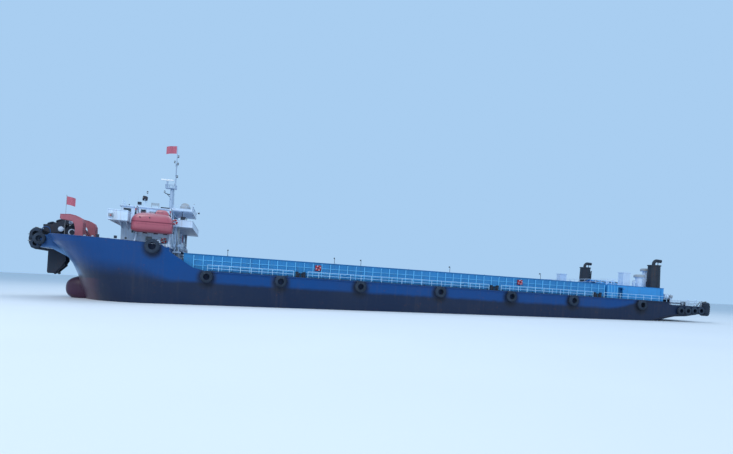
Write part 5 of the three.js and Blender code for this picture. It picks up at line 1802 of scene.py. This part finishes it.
class BARGE_OT_casing(bpy.types.Operator):
    """Funnels, vents and fittings on and round the engine casing"""
    bl_idname = "barge.casing"
    bl_label = "Casing and funnels"

    # The two mushroom vents of a side: aft, across, radius of stem and of hood
    mushrooms = ((8.73, 0.88, 0.056, 0.084), (9.02, 0.66, 0.042, 0.077))

    def execute(self, context):
        for word, side in SIDES.items():
            self.funnel(side, word)
            self.vents(side, word)
            self.vent_house(side, word)
        self.roof()
        self.sides()
        return {"FINISHED"}

    def funnel(self, side, word):
        """A tapering funnel with stiffening rings, rungs, a bent exhaust and its side pipes."""
        bm = bmesh.new()
        aft, y, base = FUNNELS[side], side * 0.89, CASING_HIGH.z
        stack = [(0, base), (0.111, base), (0.111, base + 0.008), (0.105, base + 0.012), (0.095, 1.199),
                 (0.107, 1.201), (0.107, 1.216), (0.09, 1.217), (0.088, 1.2), (0, 1.198)]
        lathe(bm, stack, at(aft, y, 0), steps=48)
        exhaust = [at(aft - 0.014, y, 1.19), at(aft - 0.014, y, 1.235)]
        exhaust += arc(at(aft + 0.041, y, 1.235), 165, 95, X * 0.055, Z * 0.057, 6)
        tube(bm, exhaust + [at(aft + 0.125, y, 1.288)], 0.027, 24)
        rod(bm, at(aft + 0.07, y, 1.21), at(aft + 0.07, y, 1.265), 0.006)
        for up in (0.93, 1.03, 1.12, 1.17):
            ring(bm, at(aft, y, up), Z, 0.105 - 0.01 * (up - base) / 0.36, 0.0024, 48, 6)
        for up in [base + 0.03 + 0.031 * i for i in range(11)]:
            rung = ((-0.02, 0.094), (-0.02, 0.117), (0.02, 0.117), (0.02, 0.094))
            tube(bm, [at(aft + x, y + side * out, up) for x, out in rung], 0.002, 6)
        for x, out, top, radius in ((0.075, -0.085, 1.13, 0.011), (0.1, 0.02, 1.06, 0.008)):
            x, out = min(aft + x, CASING_AFT - 0.012), y + side * out
            rod(bm, at(x, out, base), at(x, out, top), radius, sides=16)
            rod(bm, at(x, out, top), at(x + 0.008, out, top + 0.016), radius, sides=16)
        block(bm, (aft - 0.124, aft - 0.1), about(y, 0.02), (base + 0.03, base + 0.1))
        piece(bm, f"funnel_{word}_round", "funnel", smooth=40, replaces=f"funnel_{word}")

    def vents(self, side, word):
        """Mushroom vents and their hoods, low on the starboard side."""
        bm, hoods = drafts(2)
        base = CASING_HIGH.z
        tops = (1.045, 1.17) if side < 0 else (0.92, 0.925)
        for (aft, y, stem, radius), top in zip(self.mushrooms, tops):
            place = at(aft, side * y, 0)
            low = top - min(0.052, top - base - 0.02)
            lathe(bm, [(0, base), (stem + 0.01, base), (stem + 0.01, base + 0.009), (stem, base + 0.012),
                       (stem, low + 0.004), (radius * 0.96, low), (radius, low + 0.006),
                       (radius, top - 0.022),
                       (radius * 0.94, top - 0.011), (radius * 0.7, top - 0.003), (0, top)], place, steps=36)
            ring(bm, place + Z * (low - 0.012 if side < 0 else top - 0.03), Z, stem + 0.001, 0.0025, 32, 6)
            lathe(hoods, [(radius + 0.0012, low + 0.005), (radius + 0.0022, low + 0.007),
                          (radius + 0.0022, top - 0.021), (radius * 0.95, top - 0.009),
                          (radius * 0.7, top - 0.0015), (0, top + 0.0015)], place, steps=36)
        blocks(bm, [((8.672, 8.79), (0.618, 0.938), (base, base + 0.0085)),
                    ((8.78, 9.062), (0.618, 0.702), (base, base + 0.0085))], (side,))
        piece(bm, f"roof_vents_{word}_round", "white", smooth=40, replaces=f"roof_vents_{word}")
        shell = piece(hoods, f"vent_hoods_{word}", "grey", smooth=40)
        shell.modifiers.new("thickness", "SOLIDIFY").thickness = 0.001

    def vent_house(self, side, word):
        """Louvres round the square vent house, and the tank vents on the roof."""
        bm, pipes = drafts(2)
        base = CASING_HIGH.z
        for up in [0.882 + 0.0155 * i for i in range(9)]:
            slat = (up, up + 0.006)
            blocks(bm, [((8.361, 8.364), (0.855, 0.955), slat), ((8.496, 8.499), (0.855, 0.955), slat),
                        ((8.385, 8.475), (0.97, 0.972), slat)], (side,))
        rim(bm, "y", side * 0.97, (8.385, 8.475), (0.88, 1.015), 0.004, 0.003)
        blocks(bm, [((8.356, 8.504), (0.832, 0.978), (1.054, 1.057))], (side,))
        piece(bm, f"vent_louvres_{word}", "white", bevel=(0.0007, 1))
        for x, y, top in ((8.58, 0.95, 0.93), (8.6, 0.9, 0.95), (8.2, 0.9, 0.93), (8.24, 0.72, 0.91)):
            gooseneck(pipes, at(x, side * y, base), top - base, 0.008)
        piece(pipes, f"casing_pipes_{word}", "white", smooth=50)

    def roof(self):
        """Skylight, hatches, cable trays and lockers on the casing roof."""
        bm, dark, white = drafts(3)
        base = CASING_HIGH.z
        block(bm, (8.4, 8.95), (-0.26, 0.26), (base, base + 0.04))
        lid = ((0.255, 0.042), (0.012, 0.1), (0.012, 0.106), (0.262, 0.046))
        pane = ((0.2, 0.0615), (0.07, 0.0925), (0.07, 0.094), (0.2, 0.063))
        for side in BOTH:
            for aft in [8.42 + 0.135 * i for i in range(4)]:
                slab(bm, [at(aft, side * y, base + z) for y, z in lid], X * 0.12)
                slab(dark, [at(aft + 0.025, side * y, base + z) for y, z in pane], X * 0.07)
        for x, y in ((8.15, 0.35), (8.15, -0.35), (9.02, 0.1)):
            block(bm, about(x, 0.06), about(y, 0.06), (base, base + 0.018))
            block(white, about(x, 0.066), about(y, 0.066), (base + 0.018, base + 0.024))
            ring(dark, at(x, y, base + 0.027), Z, 0.02, 0.002, 20, 6)
        blocks(dark, [((8.12, 9.06), about(0.48, 0.02), (base, base + 0.008))])
        rods(dark, [((8.12, y, base + 0.011), (9.06, y, base + 0.011), 0.0035) for y in (0.47, 0.48, 0.49)])
        blocks(white, [((8.6, 8.68), (0.52, 0.58), (base, base + 0.05))])
        piece(bm, "casing_roof_gear", "casing", bevel=(0.0015, 2))
        piece(dark, "casing_cable_trays", "black")
        piece(white, "casing_lockers", "white", bevel=(0.002, 2))

    def sides(self):
        """Frames of the side passages with the bulkhead behind them, and the fittings of the aft wall."""
        frames, panes, glass, lining = drafts(4)
        foot = DECK + 0.001
        for side in BOTH:
            rim(frames, "y", side * 1.01, (8.24, 8.335), (0.637, 0.805), 0.005, 0.004)
            rim(frames, "x", CASING_AFT, sorted((side * 0.42, side * 0.34)), (0.62, 0.815), 0.006, 0.003)
            louvre(frames, "x", CASING_AFT, sorted((side * 0.55, side * 0.7)), (0.7, 0.79))
            bulkhead_lamp(frames, glass, at(8.355, side * 1.011, 0.79), Y * side)
            bulkhead_lamp(frames, glass, at(CASING_AFT + 0.001, side * 0.28, 0.79), X)
        rods(frames, [((9.06, 1.016, DECK), (9.06, 1.016, CASING_HIGH.z), 0.005)], 12)
        blocks(lining, [((8.19, 8.39), (0.935, 0.94), (foot, 0.82)),
                        ((8.262, 8.322), (0.94, 0.944), (0.64, 0.79)),
                        ((8.19, 8.195), (0.94, 0.99), (foot, 0.82)),
                        ((8.385, 8.39), (0.94, 0.99), (foot, 0.82))])
        for y in (-0.15, 0.0, 0.15):
            place = at(CASING_AFT, y, 0.76)
            ring(frames, place, X, 0.02, 0.0035, 24, 8)
            rod(panes, place - X * 0.001, place + X * 0.0015, 0.019, sides=24)
        piece(frames, "casing_frames", "casing")
        piece(lining, "casing_lining", "casing", bevel=(0.001, 1))
        piece(panes, "casing_portholes", "glass")
        piece(glass, "casing_lamp_glass", "lamp", smooth=60)


class BARGE_OT_stern(bpy.types.Operator):
    """Winch, fenders, propellers, rudders and deck fittings at the stern"""
    bl_idname = "barge.stern"
    bl_label = "Stern"

    def execute(self, context):
        self.winch()
        for word, side in SIDES.items():
            self.fender(side, word)
            self.propeller(side, word)
            self.rudder(word)
        self.deck()
        return {"FINISHED"}

    def winch(self):
        bm, wire, gear = drafts(3)
        low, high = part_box("stern_winch_drum")
        centre, half = (low + high) / 2, (high.y - low.y) / 2
        drum = both_ends([(0, half), (0.058, half), (0.058, half - 0.01), (0.034, half - 0.014)])
        lathe(bm, drum, centre, Y, 36)
        for side in BOTH:
            bolts(bm, centre + Y * side * half * 0.985, 10, 0.046, side * 0.004)
        body = "stern_winch_drum"
        piece(bm, "stern_drum_turned", "steel", body, smooth=40, replaces=body)
        wound(wire, centre, (0.015 - half, half - 0.015), 0.034, 0.0048)
        piece(wire, "stern_winch_wire", "wire", body, smooth=60)
        foot = STERN_DECK + 0.001
        rods(gear, [((x, 0.245, foot), (x, 0.245, STERN_DECK + 0.02), 0.005) for x in (9.31, 9.43)], 6)
        rods(gear, [((9.37, 0.256, 0.649), (9.37, 0.268, 0.649), 0.026)], 20)
        block(gear, (9.33, 9.41), (0.268, 0.33), (foot, STERN_DECK + 0.06))
        rod(gear, at(9.37, 0.33, 0.629), at(9.37, 0.38, 0.629), 0.022, sides=20)
        piece(gear, "stern_winch_gear", "black", bevel=(0.002, 2))

    def fender(self, side, word):
        bm, steel = drafts(2)
        low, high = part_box(f"stern_fender_{word}")
        centre, radius = (low + high) / 2, (high.x - low.x) / 2 - 0.0002
        half = (high.z - low.z) / 2
        profile = [(0, -half), (radius * 0.6, -half)]
        for i in range(7):
            up = -half + 0.012 + (half * 2 - 0.024) * (i + 0.5) / 7
            girth = radius * (1 - 0.32 * (up / half) ** 4)
            profile += [(girth - 0.005, up - 0.0125), (girth, up - 0.008), (girth, up + 0.008),
                        (girth - 0.005, up + 0.0125)]
        lathe(bm, profile + [(radius * 0.6, half), (0, half)], centre, steps=48)
        for x, y, up in ((9.79, 1.088, 0.51), (9.65, 1.1, 0.5), (9.51, 1.111, 0.495), (9.37, 1.119, 0.49)):
            tyre(bm, at(x, side * y, up), 0.064, 0.019)
        piece(bm, f"stern_fender_{word}_ribbed", "rubber", smooth=40, replaces=f"stern_fender_{word}")
        for shift in (-0.04, 0.04):
            across, up = side * 0.99 + shift, high.z + 0.008
            chain_links(steel, [at(9.835, side * 0.985 + shift, STERN_DECK + 0.008),
                                Vector((centre.x - 0.03, across, up)), Vector((centre.x + 0.02, across, up))],
                        0.024, 0.004)
        cap = Vector((centre.x, centre.y, high.z))
        rod(steel, cap - Z * 0.002, cap + Z * 0.006, 0.022, sides=20)
        piece(steel, f"stern_fender_chains_{word}", "steel", smooth=50)

    def propeller(self, side, word):
        """Four twisted blades on a hub with its cone."""
        name = f"propeller_{word}"
        low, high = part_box(name)
        centre, radius, half = (low + high) / 2, (high.y - low.y) / 2, (high.x - low.x) / 2
        bm = bmesh.new()
        lathe(bm, [(0, -half), (0.024, -half), (0.028, -half * 0.5), (0.026, half * 0.4),
                   (0.016, half * 0.85), (0, half)], centre, X, 32)
        for blade in range(4):
            turn = Matrix.Rotation(math.pi / 2 * blade, 3, "X")
            rows = []
            for k in range(9):
                share = 0.18 + 0.815 * k / 8
                chord = radius * 0.44 * math.sin(math.pi * min(0.97, 0.2 + share * 0.72)) ** 0.6
                chord *= 1 if k < 8 else 0.35
                pitch = side * math.atan2(0.62 * radius, share * radius * math.pi)
                thick = max(0.006 * (1.1 - share), 0.0008)
                row = []
                for i in range(12):
                    angle = 2 * math.pi * i / 12
                    along, out = chord * math.cos(angle), thick * math.sin(angle)
                    x = along * math.sin(pitch) + out * math.cos(pitch)
                    x = max(-half * 0.92, min(half * 0.92, x))
                    y = along * math.cos(pitch) - out * math.sin(pitch)
                    row.append(centre + turn @ Vector((x, y, share * radius)))
                rows.append(row)
            skin(bm, rows)
        piece(bm, f"{name}_cast", "bronze", name, smooth=50, replaces=name)

    def rudder(self, word):
        """Zinc blocks on the blade and collars on its stock."""
        body = f"rudder_{word}"
        low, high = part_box(body)
        middle, half = (low.y + high.y) / 2, (high.y - low.y) / 2
        steel, zinc = drafts(2)
        for up in (0.09, 0.17, 0.25, 0.32):
            for way in BOTH:
                across = [middle + way * (half + out) for out in (-0.001, 0.004)]
                block(zinc, (9.36, 9.41), across, (up, up + 0.014))
        for up in (0.056, 0.344):
            rod(steel, at(9.33, middle, up), at(9.33, middle, up + 0.006), 0.018, sides=20)
        piece(zinc, f"rudder_zincs_{word}", "steel", body)
        piece(steel, f"rudder_collars_{word}", "boot", body)

    def deck(self):
        dark, white, grey = drafts(3)
        base = STERN_DECK
        pair = [(0, 0), (0.017, 0), (0.017, 0.055), (0.022, 0.058), (0.022, 0.066), (0, 0.069)]
        raft, raft_up = 0.97, 0.708
        for side in BOTH:
            for x in (9.56, 9.72):
                gooseneck(white, at(x, side * 1.02, base), 0.11, 0.009)
            for x in (9.28, 9.62):
                bitts(dark, at(x, side * 0.88, base), pair, 0.03, (0.06, 0.025, 0.005))
            for x in (9.17, 9.22, 9.27):
                ring(dark, at(x, side * raft, raft_up), X, 0.0425, 0.0022, 32, 6)
        rods(white, [((9.24, 1.03, base), (9.24, 1.03, 0.733), 0.006)], 12)
        rods(white, [((9.15, raft, raft_up), (9.29, raft, raft_up), 0.042)], 32)
        rods(dark, [((9.78, 0.3, base), (9.78, 0.3, base + 0.05), 0.02),
                    ((9.78, 0.3, base + 0.05), (9.78, 0.3, base + 0.056), 0.027)], 20)
        blocks(dark, [(about(x, 0.006), (0.93, 1.01), (base, 0.675)) for x in (9.18, 9.26)])
        blocks(grey, [((9.22, 9.26), (1.01, 1.05), (0.7, 0.735)),
                      ((9.5, 9.62), (0.5, 0.62), (base, base + 0.02))])
        block(grey, (9.55, 9.7), (-0.12, 0.12), (base, base + 0.05))
        block(white, (9.545, 9.705), (-0.125, 0.125), (base + 0.05, base + 0.056))
        piece(dark, "stern_bollards", "black", smooth=40)
        piece(white, "stern_vents", "white", smooth=40)
        piece(grey, "stern_hatches", "grey", bevel=(0.002, 2))


class BARGE_OT_deck(bpy.types.Operator):
    """Cargo deck edging, bollards, lamps, lifebuoys and pipes along the ship"""
    bl_idname = "barge.deck"
    bl_label = "Deck fittings"

    def execute(self, context):
        self.bollards()
        self.along_fence()
        self.cargo_space()
        self.forecastle()
        return {"FINISHED"}

    def bollards(self):
        post = [(0, 0), (0.018, 0), (0.0185, 0.06), (0.0235, 0.064), (0.0235, 0.074), (0.019, 0.078),
                (0, 0.079)]
        y, bar = 1.064, DECK + 0.045
        for word, side in SIDES.items():
            bm = bmesh.new()
            for aft in BOLLARD_STATIONS:
                for shift in (-0.05, 0.05):
                    lathe(bm, post, at(aft + shift, side * y, DECK + 0.001), steps=24)
                blocks(bm, [(about(aft, 0.085), (1.038, 1.09), (DECK + 0.0005, DECK + 0.006))], (side,))
                rods(bm, [((aft - 0.075, y, bar), (aft + 0.075, y, bar), 0.005)], 10, (side,))
            piece(bm, f"bollards_{word}", "black", smooth=40)

    def along_fence(self):
        """Lifebuoys on their boards, lamps on arms, side boxes, tank vents, hydrants and two long pipes."""
        red, white, dark, grey, board = drafts(5)
        for side in BOTH:
            for aft, up in ((3.376, 0.768), (6.495, 0.771)):
                lifebuoy(red, white, at(aft, side * 1.045, up))
                blocks(board, [(about(aft, 0.042), (1.02, 1.038), about(up, 0.038))], (side,))
            for aft in (2.135, 3.605, 3.99, 5.35, 6.85):
                rods(dark, [((aft, 1.012, 0.84), (aft, 1.012, 0.93), 0.0032),
                            ((aft, 1.012, 0.926), (aft, 0.994, 0.932), 0.003)], 8, (side,))
                rod(dark, at(aft, side * 0.996, 0.93), at(aft, side * 0.976, 0.924), 0.006, 0.009, 14)
            for aft in (3.715, 3.81, 5.6, 7.2):
                rim(grey, "y", side * 1.032, about(aft, 0.02), (0.628, 0.7), 0.004, 0.003)
                blocks(grey, [(about(aft, 0.02), (1.02, 1.033), (0.628, 0.7))], (side,))
            for aft in (2.5, 4.6, 6.9):
                gooseneck(grey, at(aft, side * 1.055, DECK), 0.06, 0.006)
            for aft in (4.3, 7.5):
                self.hydrant(grey, at(aft, side * 1.06, DECK))
        start, end = 1.9, 8.02
        rods(dark, [((start, 1.045, DECK + 0.012), (end, 1.045, DECK + 0.012), 0.005)])
        rods(grey, [((start, 1.057, DECK + 0.009), (end, 1.057, DECK + 0.009), 0.0035)])
        clamps = [about(1.95 + 0.25 * i, 0.004) for i in range(25)]
        blocks(dark, [(aft, (1.038, 1.062), (DECK, DECK + 0.02)) for aft in clamps])
        piece(red, "deck_red_fittings", "red", smooth=50)
        piece(white, "deck_white_fittings", "white", smooth=50)
        piece(dark, "deck_pipes", "black", smooth=50)
        piece(grey, "deck_blue_fittings", "fence")
        piece(board, "lifebuoy_boards", "board")

    def hydrant(self, bm, foot):
        lathe(bm, [(0, 0), (0.012, 0), (0.012, 0.004), (0.006, 0.006), (0.006, 0.045), (0.009, 0.047),
                   (0.009, 0.056), (0, 0.06)], foot, steps=16)
        valve = foot + Z * 0.036
        rod(bm, valve - X * 0.014, valve + X * 0.014, 0.005, sides=10)
        ring(bm, foot + Z * 0.062, Z, 0.009, 0.0016, 16, 6)

    def cargo_space(self):
        """Inside ribs and stays of the fence, and steel edging, rings and hatches of the cargo deck."""
        ribs, steel = drafts(2)
        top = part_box("cargo_deck")[1].z
        inside, edge = 1.0045, (top - 0.002, top + 0.003)
        blocks(ribs, [(about(1.73 + 0.25 * i, 0.003), (inside, 0.985), (DECK + 0.008, FENCE_HIGH.z - 0.01))
                      for i in range(26)])
        blocks(ribs, [((1.6, 7.96), (inside, 0.992), (0.73, 0.736))])
        for i in range(12):
            for y in (-0.93, -0.3, 0.3, 0.93):
                self.lashing(steel, at(2.0 + 0.5 * i, y, top))
        for aft in (1.69, 7.96):
            block(steel, about(aft, 0.005), (-0.99, 0.99), edge)
        blocks(steel, [((1.69, 7.96), (0.985, 0.992), edge)])
        for x, y in ((2.2, 0.0), (4.0, 0.5), (4.0, -0.5), (5.8, 0.0), (7.4, 0.5), (7.4, -0.5)):
            rod(steel, at(x, y, top - 0.001), at(x, y, top + 0.002), 0.034, sides=32)
            ring(steel, at(x, y, top + 0.002), Z, 0.03, 0.0016, 32, 6)
        piece(ribs, "fence_inner_ribs", "fence")
        piece(steel, "cargo_deck_steel", "steel")

    def lashing(self, bm, place):
        rod(bm, place - Z * 0.001, place + Z * 0.002, 0.014, sides=16)
        tube(bm, arc(place, 0, 180, X * 0.009, Z * 0.009, 6), 0.002, 6)

    def forecastle(self):
        """Lockers, small winches and pipes on the raised deck beside and before the house."""
        white, dark, grey = drafts(3)
        base, y = FORECASTLE, 0.69
        blocks(white, [((0.9, 1.02), (0.8, 0.87), (base, base + 0.05)),
                       ((1.395, 1.5), (0.64, 0.74), (0.845, 0.87))])
        for side in BOTH:
            for aft, across in ((0.55, 0.7), (1.22, 1.0)):
                gooseneck(white, at(aft, side * across, base), 0.09, 0.008)
        for start, end in ((1.4, 1.43), (1.445, 1.495)):
            middle = (start + end) / 2
            rods(white, [((start, y, 0.945), (end, y, 0.945), 0.03)], 24)
            rods(white, [((middle, y, 0.868), (middle, y, 0.93), 0.009)], 12)
        rods(white, [((1.45, y, DECK), (1.45, y, 0.85), 0.014)], 16)
        rods(dark, [((1.36, 0.83, base + 0.01), (0.9, 0.83, base + 0.01), 0.004)])
        block(grey, (1.4, 1.46), (-0.12, 0.12), (base, base + 0.03))
        piece(white, "forecastle_lockers", "white", bevel=(0.002, 2))
        piece(dark, "forecastle_pipes", "black")
        piece(grey, "break_lockers", "grey", bevel=(0.002, 2))


OPERATORS = [
    BARGE_OT_materials, BARGE_OT_stage, BARGE_OT_bow, BARGE_OT_fence, BARGE_OT_rails, BARGE_OT_fenders,
    BARGE_OT_house, BARGE_OT_mast, BARGE_OT_lifeboats, BARGE_OT_bow_gear, BARGE_OT_casing, BARGE_OT_stern,
    BARGE_OT_deck,
]


class BARGE_PT_panel(bpy.types.Panel):
    """Lists the steps that build the barge"""
    bl_label = "Deck barge"
    bl_idname = "BARGE_PT_panel"
    bl_space_type = "VIEW_3D"
    bl_region_type = "UI"
    bl_category = "Barge"

    def draw(self, context):
        for settings in (context.scene.barge_sizes, context.scene.barge_colours):
            for name in settings.__annotations__:
                self.layout.prop(settings, name)
        for operator in OPERATORS:
            self.layout.operator(operator.bl_idname)


CLASSES = [BargeSizes, BargeColours, *OPERATORS, BARGE_PT_panel]


def register():
    for cls in CLASSES:
        bpy.utils.register_class(cls)
    bpy.types.Scene.barge_sizes = bpy.props.PointerProperty(type=BargeSizes)
    bpy.types.Scene.barge_colours = bpy.props.PointerProperty(type=BargeColours)


def unregister():
    del bpy.types.Scene.barge_colours
    del bpy.types.Scene.barge_sizes
    for cls in reversed(CLASSES):
        bpy.utils.unregister_class(cls)


def main():
    register()
    for operator in OPERATORS:
        group, name = operator.bl_idname.split(".")
        getattr(getattr(bpy.ops, group), name)()


if __name__ == "__main__":
    main()
